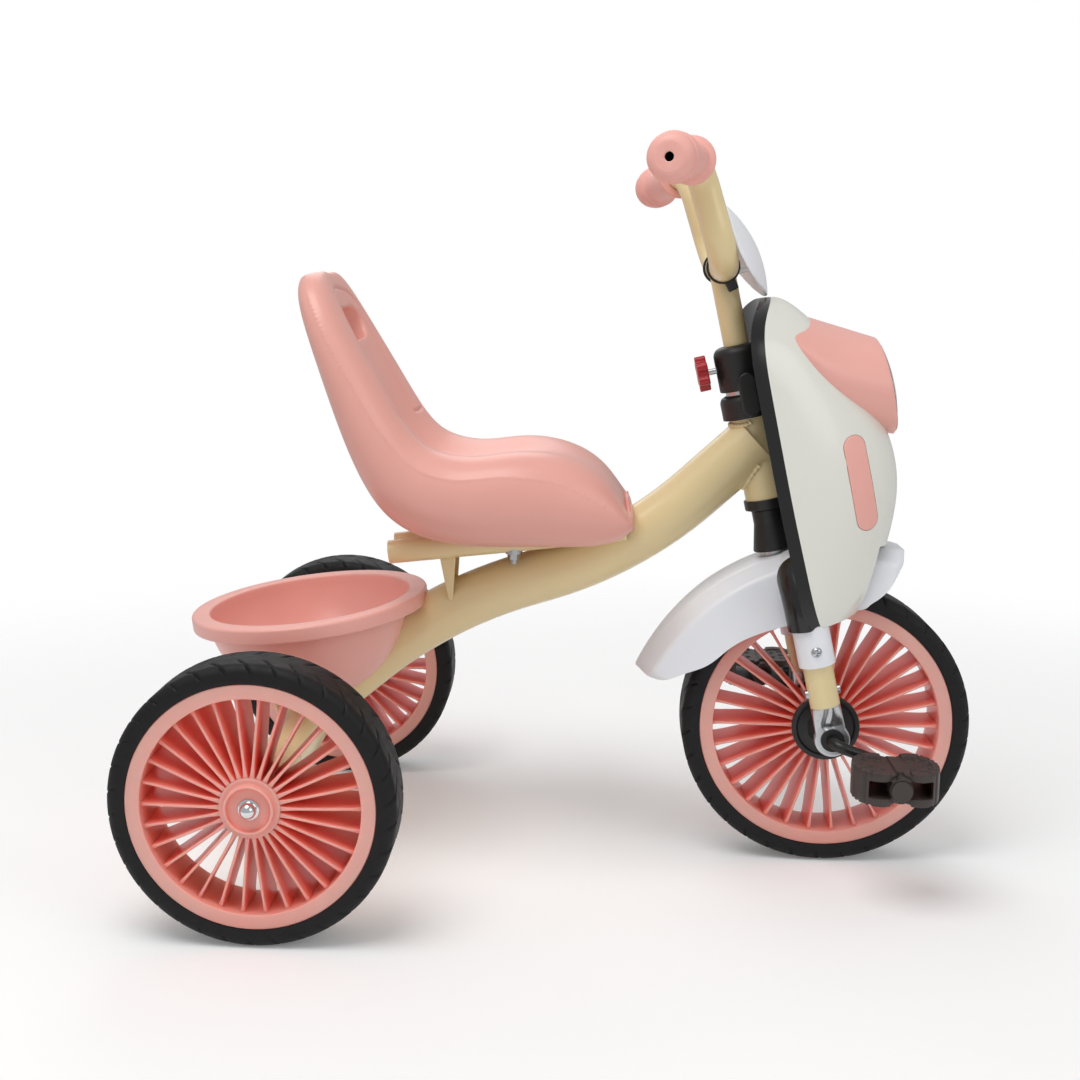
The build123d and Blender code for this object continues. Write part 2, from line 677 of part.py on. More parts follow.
lip_r = BASKET_R + BASKET_LIP
lip = post(lip_r, -BASKET_LIP_T, 0) - post(lip_r - BASKET_WALL, -BASKET_LIP_T, -BASKET_WALL)
outer_bowl = basket_place * (bowl(0) + spread(lip))
inner_bowl = basket_place * bowl(BASKET_WALL)
axle_clear = axle_place * rod_y(AXLE_TUBE_R + FIT_CLEAR, -tube_end, tube_end)
channel = swept(main_path, MAIN_TUBE_R + FIT_CLEAR + BASKET_WALL)
basket = outer_bowl - main_clear - axle_clear - (inner_bowl - channel)
basket = biggest(basket)

# Screws through the basket's saddle into the main tube
slope = radians(MAIN_REAR_SLOPE)
saddle_r = MAIN_TUBE_R + FIT_CLEAR + BASKET_WALL
basket_screws = []
for index in range(2):
    along = BASKET_SCREW_FROM + index * BASKET_SCREW_SPACE
    plane = Plane(
        origin=(REAR_X + main_start[0] + along * cos(slope), 0, main_start[1] + along * sin(slope)),
        x_dir=(cos(slope), 0, sin(slope)),
        z_dir=(-sin(slope), 0, cos(slope)),
    )
    head = plane * post(BASKET_SCREW_HEAD_R, saddle_r - 1, saddle_r + BASKET_SCREW_HEAD_T) - channel
    shank = plane * post(BASKET_SCREW_R, MAIN_TUBE_R - BASKET_SCREW_IN, saddle_r + BASKET_SCREW_HEAD_T)
    basket_screws.append(biggest(head + shank))
for screw in basket_screws:
    basket = basket - screw
    parts["main_tube"] -= screw
parts["basket_screws"] = Compound(basket_screws)
parts["basket"] = basket

# Head cups in the head tube
steer_bore = STEERER_R + RUN_CLEAR
lower_cup = column([
    (steer_bore, HEAD_BOTTOM - LOWER_CUP_T),
    (LOWER_CUP_R, HEAD_BOTTOM - LOWER_CUP_T),
    (LOWER_CUP_R, HEAD_BOTTOM),
    (head_bore_r, HEAD_BOTTOM),
    (head_bore_r, HEAD_BOTTOM + CUP_SPIGOT),
    (steer_bore, HEAD_BOTTOM + CUP_SPIGOT),
], -STEER_OFFSET)
cup_top = HEAD_TOP + UPPER_CUP_T
upper_cup = column([
    (steer_bore, HEAD_TOP - CUP_SPIGOT),
    (head_bore_r, HEAD_TOP - CUP_SPIGOT),
    (head_bore_r, HEAD_TOP),
    (UPPER_CUP_R, HEAD_TOP),
    (UPPER_CUP_R, cup_top - UPPER_CUP_ROUND),
    (UPPER_CUP_R - UPPER_CUP_ROUND / 3, cup_top - UPPER_CUP_ROUND / 3),
    (UPPER_CUP_R - UPPER_CUP_ROUND, cup_top),
    (steer_bore, cup_top),
], -STEER_OFFSET)
parts["head_cup_lower"] = STEER * lower_cup
cup_clear = post(LOWER_CUP_R + FIT_CLEAR, HEAD_BOTTOM - LOWER_CUP_T, HEAD_BOTTOM, -STEER_OFFSET)
parts["main_tube"] -= STEER * cup_clear
parts["head_cup_upper"] = STEER * upper_cup

# Fork: bent tube with a steerer on its crown
fork_path = FilletPolyline(
    (0, -FORK_LEG_V, FORK_LEG_END),
    (0, -FORK_LEG_V, FORK_CROWN),
    (0, FORK_LEG_V, FORK_CROWN),
    (0, FORK_LEG_V, FORK_LEG_END),
    radius=FORK_BEND,
)
fork_solid = swept(fork_path, FORK_R)
fork_bore_r = FORK_R - FORK_WALL
fork_tube = fork_solid - swept(fork_path, fork_bore_r)
stem_bore_r = STEM_R + RUN_CLEAR
steerer = post(STEERER_R, FORK_CROWN, STEERER_TOP, -STEER_OFFSET)
steerer -= post(stem_bore_r, FORK_CROWN, STEERER_TOP, -STEER_OFFSET)
steerer = max((steerer - fork_solid).solids(), key=lambda solid: solid.center().Z)

# Clamp bolt through the sleeve and the steerer, with a lobed knob
sleeve_low = cup_top + GAP + WASHER_T
sleeve_top = sleeve_low + STEM_SLEEVE_H
bolt_tip_x = -STEER_OFFSET - STEM_R - GAP
knob_face = -STEER_OFFSET - STEM_SLEEVE_R - KNOB_STAND_OFF
knob_back = knob_face - KNOB_T
clamp_bolt = rod_x(CLAMP_BOLT_R, knob_back + KNOB_T / 2, bolt_tip_x, z=CLAMP_AT)
clamp_hole = rod_x(CLAMP_BOLT_R + RUN_CLEAR, knob_back, -STEER_OFFSET, z=CLAMP_AT)
lobe_r = KNOB_R / 4
knob = rod_x(KNOB_R - lobe_r, knob_back, knob_face, z=CLAMP_AT)
for index in range(KNOB_LOBES):
    turn = radians(360 * index / KNOB_LOBES)
    reach = KNOB_R - lobe_r
    knob += rod_x(lobe_r, knob_back, knob_face, reach * sin(turn), CLAMP_AT + reach * cos(turn))
parts["clamp_bolt"] = STEER * clamp_bolt
parts["clamp_knob"] = STEER * (knob - clamp_bolt)
parts["fork_steerer"] = STEER * (steerer - clamp_hole)

# Steel washer and stem sleeve
washer = post(WASHER_R, cup_top + GAP, sleeve_low, -STEER_OFFSET)
parts["steering_washer"] = STEER * (washer - post(STEERER_R, cup_top, sleeve_low, -STEER_OFFSET))
sleeve = post(STEM_SLEEVE_R, sleeve_low, sleeve_top, -STEER_OFFSET)
sleeve = fillet(sleeve.edges().group_by(Axis.Z)[-1], STEM_SLEEVE_ROUND)
sleeve -= post(STEERER_R, sleeve_low, STEERER_TOP, -STEER_OFFSET)
sleeve -= post(STEM_R + FIT_CLEAR, sleeve_low, sleeve_top, -STEER_OFFSET)
clip_boss_at = sleeve_low + CLIP_BOSS_R + 1
clip_inner_v = UPPER_CUP_R + 1.5
for sign in SIDES.values():
    ends = sorted((sign * (STEERER_R + 2), sign * clip_inner_v))
    sleeve += rod_y(CLIP_BOSS_R, *ends, x=-STEER_OFFSET, z=clip_boss_at)
parts["stem_sleeve"] = STEER * (sleeve - clamp_hole)

# Flattened fork ends with bush holes
bush_r = CRANK_R + RUN_CLEAR + BUSH_WALL
for side, sign in SIDES.items():
    v = sign * FORK_LEG_V
    plug = post(fork_bore_r, FORK_LEG_END, FORK_LEG_END + FORK_PLUG, 0, v)
    neck = loft([
        Pos(0, v, FORK_LEG_END) * Circle(FORK_R),
        Pos(0, v, FORK_NECK) * Rectangle(FORK_NECK_W, FORK_EYE_T),
    ])
    eye_half = FORK_EYE_T / 2
    eye = rod_y(FORK_EYE_R, v - eye_half, v + eye_half)
    eye += Pos(0, v, FORK_NECK / 2) * Box(FORK_NECK_W, FORK_EYE_T, FORK_NECK)
    parts[f"fork_end_{side}"] = STEER * (plug + neck + eye - rod_y(bush_r, v - FORK_EYE_R, v + FORK_EYE_R))
bushes = []
for sign in SIDES.values():
    v = sign * FORK_LEG_V
    inner = sign * (FORK_LEG_V - FORK_EYE_T / 2)
    outer = sign * (FORK_LEG_V + FORK_EYE_T / 2)
    rim_out = outer + sign * BUSH_FLANGE_T
    crank_bush = rod_y(bush_r, *sorted((inner, outer))) + rod_y(BUSH_FLANGE_R, *sorted((outer, rim_out)))
    bushes.append(crank_bush - rod_y(CRANK_R + RUN_CLEAR, v - FORK_EYE_R, v + FORK_EYE_R))
parts["crank_bushes"] = STEER * Compound(bushes)

# Rivets that hold the fork ends in the legs
rivets = []
for sign in SIDES.values():
    v = sign * FORK_LEG_V
    rivet = rod_x(RIVET_R, -FORK_R - RIVET_HEAD_T, FORK_R + RIVET_HEAD_T, v, RIVET_AT)
    for end in (-1, 1):
        head = sorted((end * (FORK_R - 1), end * (FORK_R + RIVET_HEAD_T)))
        rivet += rod_x(RIVET_HEAD_R, *head, v, RIVET_AT) - post(FORK_R, 0, FORK_CROWN, 0, v)
    rivets.append(rivet)
rivet_group = Compound(rivets)
parts["fork_rivets"] = STEER * rivet_group
for rivet in rivets:
    fork_tube -= rivet
    for side in SIDES:
        parts[f"fork_end_{side}"] -= STEER * rivet
parts["fork_tube"] = STEER * fork_tube

# Front fender: turned arch about the axle, with sleeves down the fork legs
def fender_profile(inset):
    """Half outline of the fender's section from its top to its skirt, set in by the sheet."""
    return [
        (FENDER_R - inset, 0),
        (FENDER_R - inset, FENDER_TOP_HALF),
        (FENDER_R - FENDER_SHOULDER[0] - inset, FENDER_SHOULDER[1] - inset),
        (FENDER_R - FENDER_SKIRT[0], FENDER_SKIRT[1] - inset),
    ]


def fender_ring(inset):
    """Full ring of the fender's section, filled down to the skirt's edge."""
    half = fender_profile(inset)
    other = [(r, -v) for r, v in reversed(half[1:])]
    return Pos(FENDER_CENTRE[0], 0, FENDER_CENTRE[1]) * turned(half + other)


keep_curve = Spline(*FENDER_EDGE)
first = FENDER_EDGE[0]
last = FENDER_EDGE[-1]
beyond = 2 * FENDER_R
keep_edge = keep_curve + Polyline(last, (last[0], beyond), (-beyond, beyond), (-beyond, first[1]), first)
keep_plane = Plane(origin=(0, 0, 0), x_dir=(1, 0, 0), z_dir=(0, -1, 0))
keep = extrude(keep_plane * make_face(keep_edge), beyond, both=True)
arch = FRONT_AXLE * ((fender_ring(0) - fender_ring(FENDER_T)) & keep)
arch = biggest(arch)
sleeve_path = FilletPolyline(
    (0, -FORK_LEG_V, SLEEVE_END),
    (0, -FORK_LEG_V, FORK_CROWN),
    (0, FORK_LEG_V, FORK_CROWN),
    (0, FORK_LEG_V, SLEEVE_END),
    radius=FORK_BEND,
)
sleeve_solid = swept(sleeve_path, SLEEVE_R)
cover_foot = FORK_CROWN + SLEEVE_R + 1.0
fender = arch + STEER * sleeve_solid
fender -= STEER * swept(fork_path, FORK_R + FIT_CLEAR)
fender -= STEER * post(STEERER_R + FIT_CLEAR, FORK_CROWN, cover_foot + FENDER_R, -STEER_OFFSET)
fender -= STEER * post(2 * COVER_FOOT_R, cover_foot, cover_foot + FENDER_R, -STEER_OFFSET)
fender = biggest(fender)

# Screws through the sleeves into the legs
fender_screws = []
for sign in SIDES.values():
    surface = FORK_LEG_V + SLEEVE_R
    head = sorted((sign * (surface - 1), sign * (surface + SCREW_HEAD_T)))
    shank = sorted((sign * (FORK_LEG_V + fork_bore_r - 4), sign * surface))
    leg_sleeve = post(SLEEVE_R, 0, FORK_CROWN, 0, sign * FORK_LEG_V)
    screw = rod_y(SCREW_HEAD_R, *head, z=SLEEVE_SCREW_AT) - leg_sleeve
    screw += rod_y(SCREW_R, *shank, z=SLEEVE_SCREW_AT)
    screw = biggest(screw)
    fender_screws.append(STEER * screw)
for screw in fender_screws:
    fender -= screw
    parts["fork_tube"] -= screw
parts["fender_screws"] = Compound(fender_screws)
parts["front_fender"] = fender

# Crown cover between the fender and the lower head cup
cover_top = HEAD_BOTTOM - LOWER_CUP_T - GAP
cover_bore = STEERER_R + FIT_CLEAR
parts["crown_cover"] = STEER * column([
    (cover_bore, cover_foot),
    (COVER_FOOT_R, cover_foot),
    (COVER_NECK_R, cover_foot + COVER_FOOT_H),
    (COVER_NECK_R, cover_top),
    (cover_bore, cover_top),
], -STEER_OFFSET)

# Crank: one bent rod from pin to pin through the front wheel
pedal_outer = PEDAL_INNER_V + PEDAL_W
pin_end = pedal_outer - PEDAL_CAP_T - 1.0
crank_x = CRANK_THROW * cos(radians(CRANK_ANGLE))
crank_z = CRANK_THROW * sin(radians(CRANK_ANGLE))
crank_path = FilletPolyline(
    (crank_x, -pin_end, crank_z),
    (crank_x, -CRANK_ARM_V, crank_z),
    (0, -CRANK_ARM_V, 0),
    (0, CRANK_ARM_V, 0),
    (-crank_x, CRANK_ARM_V, -crank_z),
    (-crank_x, pin_end, -crank_z),
    radius=CRANK_BEND,
)
parts["crank"] = FRONT_AXLE * swept(crank_path, CRANK_R)

# Hub discs that drive the front wheel
disc_low = HALF_TYRE - RIM_SET_IN
boss_out = FORK_LEG_V - FORK_EYE_T / 2 - GAP
hub_disc = turned([
    (CRANK_R, disc_low),
    (HUB_DISC_R, disc_low),
    (HUB_DISC_R, disc_low + HUB_DISC_T),
    (HUB_BOSS_R + 4, disc_low + HUB_DISC_T),
    (HUB_BOSS_R, disc_low + 2 * HUB_DISC_T),
    (HUB_BOSS_R, boss_out),
    (CRANK_R, boss_out),
])
parts["hub_discs"] = FRONT_AXLE * Compound([hub_disc, mirrored(hub_disc)])


# Pedals
def pedal_pad(shrink):
    """Two-lobed outline of a pedal plate, fore and aft along X and the pin along Y."""
    lobe_x = PEDAL_L / 4
    lobe = Ellipse(lobe_x + 2 - shrink, PEDAL_W / 2 - shrink)
    waist = Rectangle(2 * lobe_x, PEDAL_WAIST - 2 * shrink)
    return Pos(lobe_x - 2, 0) * lobe + Pos(2 - lobe_x, 0) * lobe + waist


def pedal():
    """Hollow pedal about its pin on Y: two tread plates, end walls and a barrel."""
    half = PEDAL_T / 2
    shell = Pos(0, 0, -half) * extrude(pedal_pad(0), PEDAL_T)
    inside = Pos(0, 0, PEDAL_PLATE_T - half) * extrude(pedal_pad(PEDAL_PLATE_T), PEDAL_T - 2 * PEDAL_PLATE_T)
    window = Box(PEDAL_WINDOW, 2 * PEDAL_W, PEDAL_T - 2 * PEDAL_PLATE_T)
    body = shell - inside - window
    notch = Box(PEDAL_NOTCH_D, PEDAL_NOTCH_W, 2 * PEDAL_T)
    for end in (-1, 1):
        for turn in (-48, -16, 16, 48):
            x = end * (PEDAL_L / 4 - 2 + (PEDAL_L / 4 + 2) * cos(radians(turn)))
            y = PEDAL_W / 2 * sin(radians(turn))
            body -= Pos(x, y, 0) * Rot(0, 0, end * turn) * notch
    body += rod_y(PEDAL_BARREL_R, -PEDAL_W / 2, PEDAL_W / 2)
    body -= rod_y(CRANK_R + RUN_CLEAR, -PEDAL_W, PEDAL_W)
    return body


pedal_body = pedal()
pedal_middle = PEDAL_INNER_V + PEDAL_W / 2
cap_low = PEDAL_W / 2 - PEDAL_CAP_T
cap_pocket = rod_y(PEDAL_CAP_R, cap_low, PEDAL_W)
cap = rod_y(PEDAL_CAP_R, cap_low, PEDAL_W / 2 + PEDAL_CAP_T / 2)
for side, sign in SIDES.items():
    place = FRONT_AXLE * Pos(-sign * crank_x, sign * pedal_middle, -sign * crank_z)
    flip = (lambda shape: shape) if sign > 0 else mirrored
    parts[f"pedal_{side}"] = place * flip(pedal_body - cap_pocket)
    parts[f"pedal_cap_{side}"] = place * flip(cap)


# Handlebar: stem and bent bar welded together
sweep_turn = radians(BAR_SWEEP)
grip_top = (-STEER_OFFSET - BAR_ARM_BACK, BAR_ARM_V, BAR_HIGH)
grip_from = (GRIP_START_V - BAR_ARM_V) / cos(sweep_turn)
bar_reach = grip_from + GRIP_L - GRIP_END_T


def along_grip(reach):
    """Point of the left grip's axis at a distance out from the arm's top corner."""
    return (grip_top[0] - reach * sin(sweep_turn), grip_top[1] + reach * cos(sweep_turn), grip_top[2])


def other_side(point):
    return (point[0], -point[1], point[2])


arm_foot = (-STEER_OFFSET, BAR_ARM_V, BAR_LOW)
bar_end = along_grip(bar_reach)
bar_path = FilletPolyline(
    other_side(bar_end),
    other_side(grip_top),
    other_side(arm_foot),
    arm_foot,
    grip_top,
    bar_end,
    radius=[BAR_BEND_HIGH, BAR_BEND_LOW, BAR_BEND_LOW, BAR_BEND_HIGH],
)
bar_solid = swept(bar_path, BAR_R)
stem = post(STEM_R, STEM_BOTTOM, BAR_LOW, -STEER_OFFSET)
stem -= post(STEM_R - STEM_WALL, STEM_BOTTOM, BAR_LOW, -STEER_OFFSET)
stem = min((stem - bar_solid).solids(), key=lambda solid: solid.center().Z)
parts["handlebar"] = STEER * (bar_solid - swept(bar_path, BAR_R - BAR_WALL) + stem)


# Grips
def grip():
    """Grip along Z from its flange, with a ringed bulb and an end hole."""
    bulb_low = GRIP_L - GRIP_BULB_L
    ring_top = bulb_low + GRIP_RINGS * GRIP_RING_PITCH
    points = [(BAR_R, 0), (GRIP_FLANGE_R, 0), (GRIP_FLANGE_R, GRIP_FLANGE_T), (GRIP_R, GRIP_FLANGE_T + 2)]
    points += [(GRIP_R, bulb_low - 3), (GRIP_BULB_R - 1.5, bulb_low)]
    for index in range(GRIP_RINGS):
        low = bulb_low + index * GRIP_RING_PITCH
        points += [(GRIP_BULB_R, low + 1), (GRIP_BULB_R, low + GRIP_RING_PITCH - 1.5)]
        points += [(GRIP_BULB_R - GRIP_RING_DEPTH, low + GRIP_RING_PITCH - 0.8)]
    points += [(GRIP_BULB_R - 1.2, ring_top + 1), (GRIP_BULB_R - 2.5, GRIP_L - 6), (GRIP_BULB_R - 7, GRIP_L)]
    points += [(GRIP_HOLE_R, GRIP_L), (GRIP_HOLE_R, GRIP_L - GRIP_END_T), (BAR_R, GRIP_L - GRIP_END_T)]
    return revolve(Plane.XZ * make_face(Polyline(*points, close=True)), Axis.Z)


grip_start = along_grip(grip_from)
grip_plane = Plane(origin=grip_start, z_dir=(-sin(sweep_turn), cos(sweep_turn), 0))
left_grip = grip_plane * grip()
parts["grip_left"] = STEER * left_grip
parts["grip_right"] = STEER * mirrored(left_grip)

# Visor dish on two stalks, tied to the bar
dish_place = Pos(VISOR_AT[0], 0, VISOR_AT[1]) * Rot(0, -VISOR_LEAN, 0)
dish_centre = Pos(-VISOR_SPHERE_R, 0, 0)
dish_bar = extrude(Plane.YZ * Ellipse(VISOR_HALF_W, VISOR_HALF_H), 2 * VISOR_SPHERE_R)
dish = dish_bar & Sphere(VISOR_SPHERE_R)
dish = dish_place * dish_centre * (dish - Sphere(VISOR_SPHERE_R - VISOR_T))
dish_core = dish_place * dish_centre * Sphere(VISOR_SPHERE_R - VISOR_T / 2)
visor = dish
ties = []
for sign in SIDES.values():
    stalk = rod_x(STALK_R, -STEER_OFFSET, VISOR_AT[0] + VISOR_SPHERE_R, sign * STALK_V, STALK_AT)
    visor = visor + (stalk & dish_core) - bar_solid
    band_from = sign * STALK_V - TIE_W / 2
    band = rod_y(BAR_R + TIE_T, band_from, band_from + TIE_W, -STEER_OFFSET, BAR_LOW)
    tie_head = Pos(-STEER_OFFSET, sign * STALK_V, BAR_LOW - BAR_R - TIE_HEAD[2] / 2) * Box(*TIE_HEAD)
    ties.append(band + tie_head - bar_solid - stalk)
parts["visor"] = STEER * visor
parts["visor_ties"] = STEER * Compound(ties)


# Cowl: lofted ribs closed by a hollow back
def cowl_rib(height, half_w, reach, wall):
    """Outline of the cowl at one height, set in by a wall."""
    half_depth = reach - COWL_MIDDLE - wall
    return Pos(COWL_MIDDLE, 0, height) * oval(half_depth, half_w - wall, COWL_FULLNESS, COWL_RIB_POINTS)


def cowl_solid(wall, floor, roof):
    """Solid of all ribs set in by a wall, with its floor and roof moved."""
    ribs = []
    for index, (height, half_w, reach) in enumerate(COWL_RIBS):
        last = index == len(COWL_RIBS) - 1
        shift = floor if index == 0 else roof if last else min(roof, 0) * index / len(COWL_RIBS)
        ribs.append(cowl_rib(height + shift, half_w, reach, wall))
    return loft(ribs)


def back_cylinder(past):
    """Cylinder that hollows the cowl's back, enlarged."""
    centre = COWL_BACK_AT - COWL_BACK_R
    return post(COWL_BACK_R + past, 0, 2 * COWL_RIBS[-1][0], centre)


cowl_outer = cowl_solid(0, 0, 0)
cowl_inner = cowl_solid(COWL_WALL, -1.0, -COWL_WALL)
leg_hollow = swept(sleeve_path, SLEEVE_R + LEG_CLEAR)
leg_cover = swept(sleeve_path, SLEEVE_R + LEG_CLEAR + COWL_BACK_T)
fender_hollow_v = FENDER_SKIRT[1] + COWL_CLEAR
hollow_x = FENDER_CENTRE[0] * cos(LEAN) + FENDER_CENTRE[1] * sin(LEAN)
hollow_z = FENDER_CENTRE[1] * cos(LEAN) - FENDER_CENTRE[0] * sin(LEAN)
fender_hollow = rod_y(FENDER_R + COWL_CLEAR, -fender_hollow_v, fender_hollow_v, hollow_x, hollow_z)
cowl_top = COWL_RIBS[-1][0]
below_cowl = Pos(0, 0, COWL_RIBS[0][0] - cowl_top) * Box(4 * FENDER_R, 4 * FENDER_R, 2 * cowl_top)
back_band = back_cylinder(COWL_BACK_BAND)
back_plate = back_cylinder(COWL_BACK_T)
cowl_back = cowl_outer & back_band
cowl_back -= back_cylinder(0)
cowl_back -= cowl_inner - back_plate
cowl_back += leg_cover & back_plate
cowl_back = biggest(cowl_back - leg_hollow - fender_hollow - below_cowl)
cowl_shell = cowl_outer - back_band - cowl_inner


# Lamp surround: an oval cone widening and rising back into the cowl
def lamp_cone(inset, root, front):
    """Oval cone of the lamp, set in by a wall, between two places along it."""
    ends = []
    for place in (root, front):
        back = LAMP_FRONT - place
        plane = Plane((place, 0, LAMP_AT + back * LAMP_RISE), x_dir=(0, 1, 0), z_dir=(1, 0, 0))
        half_w = LAMP_HALF_W + back * LAMP_FLARE_W - inset
        half_h = LAMP_HALF_H + back * LAMP_FLARE_H - inset
        ends.append(plane * Ellipse(half_w, half_h))
    return loft(ends)


lamp_inside = lamp_cone(LAMP_WALL, LAMP_ROOT, LAMP_FRONT + LENS_DOME)
surround = lamp_cone(0, LAMP_ROOT, LAMP_FRONT) - lamp_inside - cowl_outer
parts["lamp_surround"] = STEER * biggest(surround)
cowl_shell -= lamp_cone(LAMP_WALL + LAMP_LAND, LAMP_ROOT, LAMP_FRONT + LENS_DOME)
cowl_shell = biggest(cowl_shell - leg_hollow - fender_hollow)


def lamp_turned(outline):
    """Solid of revolution about the lamp's axis, widened like the lamp."""
    turned_piece = revolve(Plane.XZ * outline, Axis.X)
    return Pos(LAMP_FRONT, 0, LAMP_AT) * scale(turned_piece, by=(1, LAMP_HALF_W / LAMP_HALF_H, 1))


lens_edge = 1.2 * LAMP_HALF_H
lens_drop = LENS_DOME * (lens_edge / LAMP_HALF_H) ** 2
lens_places = [(LENS_DOME, 0), (LENS_DOME - lens_drop / 4, lens_edge / 2), (LENS_DOME - lens_drop, lens_edge)]
lens_backs = [(x - LENS_T, r) for x, r in lens_places]
lens_face = ThreePointArc(*lens_places) + Line(lens_places[-1], lens_backs[-1])
lens_face += ThreePointArc(*reversed(lens_backs)) + Line(lens_backs[0], lens_places[0])
parts["lamp_lens"] = STEER * biggest(lamp_turned(make_face(lens_face)) & lamp_inside)
cup_front = -REFLECTOR_SET_IN
cup_back = cup_front - REFLECTOR_DEPTH
cup_places = [
    (cup_back, REFLECTOR_NECK_R),
    (cup_back + REFLECTOR_DEPTH / 4, lens_edge / 2),
    (cup_front, lens_edge),
]
cup_backs = [(x - REFLECTOR_T, r) for x, r in cup_places]
cup_face = ThreePointArc(*cup_places) + Line(cup_places[-1], cup_backs[-1])
cup_face += ThreePointArc(*reversed(cup_backs)) + Line(cup_backs[0], cup_places[0])
reflector = lamp_turned(make_face(cup_face)) & lamp_inside
parts["lamp_reflector"] = STEER * biggest(reflector - cowl_shell)


# Side accents set in the cowl's walls
def accent_prism(grow):
    """Round-ended bar through both walls of the cowl, grown all round."""
    plane = Plane((ACCENT_AT[0], 0, ACCENT_AT[1]), x_dir=(0, 0, 1), z_dir=(0, 1, 0))
    outline = SlotOverall(ACCENT_L + 2 * grow, ACCENT_W + 2 * grow)
    return extrude(plane * outline, COWL_RIBS[3][1] * 2, both=True)


accent = (cowl_solid(-ACCENT_PROUD, 0, 0) - cowl_inner) & accent_prism(-FIT_CLEAR)
accent += (cowl_inner - cowl_solid(COWL_WALL + ACCENT_LIP_T, -1.0, -COWL_WALL)) & accent_prism(ACCENT_LIP)
cowl_shell -= accent_prism(0)
for side, sign in SIDES.items():
    parts[f"side_accent_{side}"] = STEER * max(accent.solids(), key=lambda solid: sign * solid.center().Y)

# Screws through the back into posts of the cowl
cowl_screws = []
for height in COWL_SCREW_AT:
    for sign in SIDES.values():
        v = sign * COWL_SCREW_V
        boss = rod_x(COWL_BOSS_R, 0, COWL_RIBS[3][2], v, height) & cowl_outer
        cowl_shell += boss - back_plate - cowl_back
        head = rod_x(SCREW_HEAD_R, -COWL_BACK_BAND - SCREW_HEAD_T, 2 * COWL_BACK_BAND, v, height)
        head = head & back_cylinder(0) - back_cylinder(-SCREW_HEAD_T)
        shank_reach = back_cylinder(COWL_SCREW_IN) - back_cylinder(0)
        shank = rod_x(SCREW_R, 0, 2 * COWL_SCREW_IN, v, height) & shank_reach
        cowl_screws.append(biggest(head + shank))
for screw in cowl_screws:
    cowl_shell -= screw
    cowl_back -= screw
parts["cowl_screws"] = STEER * Compound(cowl_screws)
parts["cowl_shell"] = STEER * cowl_shell
parts["cowl_back"] = STEER * cowl_back

# Clips that carry the cowl on the stem sleeve
clips = []
for sign in SIDES.values():
    clip_plane = Plane((-STEER_OFFSET, sign * clip_inner_v, CLIP_AT), x_dir=(0, 0, 1), z_dir=(0, sign, 0))
    clip = extrude(clip_plane * SlotOverall(CLIP_H, CLIP_W), CLIP_T)
    arm_v = sign * (clip_inner_v + CLIP_T / 2)
    arm = Pos(COWL_BACK_AT, arm_v, CLIP_AT) * Box(2 * (COWL_BACK_AT + STEER_OFFSET), CLIP_T / 2, CLIP_H / 2)
    clips.append(clip + (arm & back_cylinder(0)))
parts["cowl_clips"] = STEER * Compound(clips)

os.makedirs("parts", exist_ok=True)
for name, shape in parts.items():
    export_step(shape, f"parts/{name}.step")
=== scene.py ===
import json
from math import atan2, copysign, cos, hypot, pi, radians, sin, tan
import bmesh
import bpy
from bpy.props import FloatProperty, IntProperty, PointerProperty, StringProperty
from mathutils import Matrix, Vector
from mathutils.kdtree import KDTree


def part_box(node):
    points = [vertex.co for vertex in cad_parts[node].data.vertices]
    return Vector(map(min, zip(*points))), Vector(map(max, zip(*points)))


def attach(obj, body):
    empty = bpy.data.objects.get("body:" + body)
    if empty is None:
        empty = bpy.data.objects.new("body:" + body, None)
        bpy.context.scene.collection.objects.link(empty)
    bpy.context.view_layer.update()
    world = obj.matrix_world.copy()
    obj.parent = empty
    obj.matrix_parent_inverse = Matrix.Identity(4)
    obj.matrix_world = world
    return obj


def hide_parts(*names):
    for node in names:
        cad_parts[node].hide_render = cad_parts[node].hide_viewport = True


bl_info = {
    "name": "Child's tricycle",
    "version": (1, 0, 0),
    "blender": (4, 5, 0),
    "location": "3D View > Sidebar > Tricycle",
    "description": "Dresses the tricycle's frame in moulded, painted and plated pieces",
    "category": "Object",
}

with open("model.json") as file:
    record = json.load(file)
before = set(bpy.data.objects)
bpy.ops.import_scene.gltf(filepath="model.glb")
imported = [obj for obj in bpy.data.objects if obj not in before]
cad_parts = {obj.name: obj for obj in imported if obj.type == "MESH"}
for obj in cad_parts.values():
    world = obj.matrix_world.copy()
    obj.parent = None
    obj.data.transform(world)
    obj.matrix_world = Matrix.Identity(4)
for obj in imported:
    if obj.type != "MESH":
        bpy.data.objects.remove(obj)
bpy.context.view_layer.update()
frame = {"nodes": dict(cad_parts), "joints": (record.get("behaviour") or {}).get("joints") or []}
NODES = frame["nodes"]
JOINTS = {joint["name"]: joint for joint in frame["joints"]}
MM = 0.001
SIDES = {"right": -1, "left": 1}
PAINTED_SHADE_REACH = 40 * MM           # how near a wall must be for a recess to get its painted shade
GLOSS_SPREAD = 0.14              # share by which the gloss of a surface varies
SKIN_STRENGTH = 0.6

# Places of the frame, in metres
REAR_WHEEL_AT = JOINTS["rear_wheel_right_spin"]["pos_m"]
REAR_AXLE = Vector((REAR_WHEEL_AT[0], 0, REAR_WHEEL_AT[2]))
FRONT_AXLE = Vector(JOINTS["front_wheel_spin"]["pos_m"])
STEER_AXIS = Vector(JOINTS["steering_turn"]["axis"])
STEER_AHEAD = Vector((STEER_AXIS.z, 0, -STEER_AXIS.x))


def leaning(ahead, left, along):
    """Place in the leaning steering frame, in millimetres from the front axle, as a point in metres."""
    return FRONT_AXLE + (STEER_AHEAD * ahead + Vector((0, left, 0)) + STEER_AXIS * along) * MM


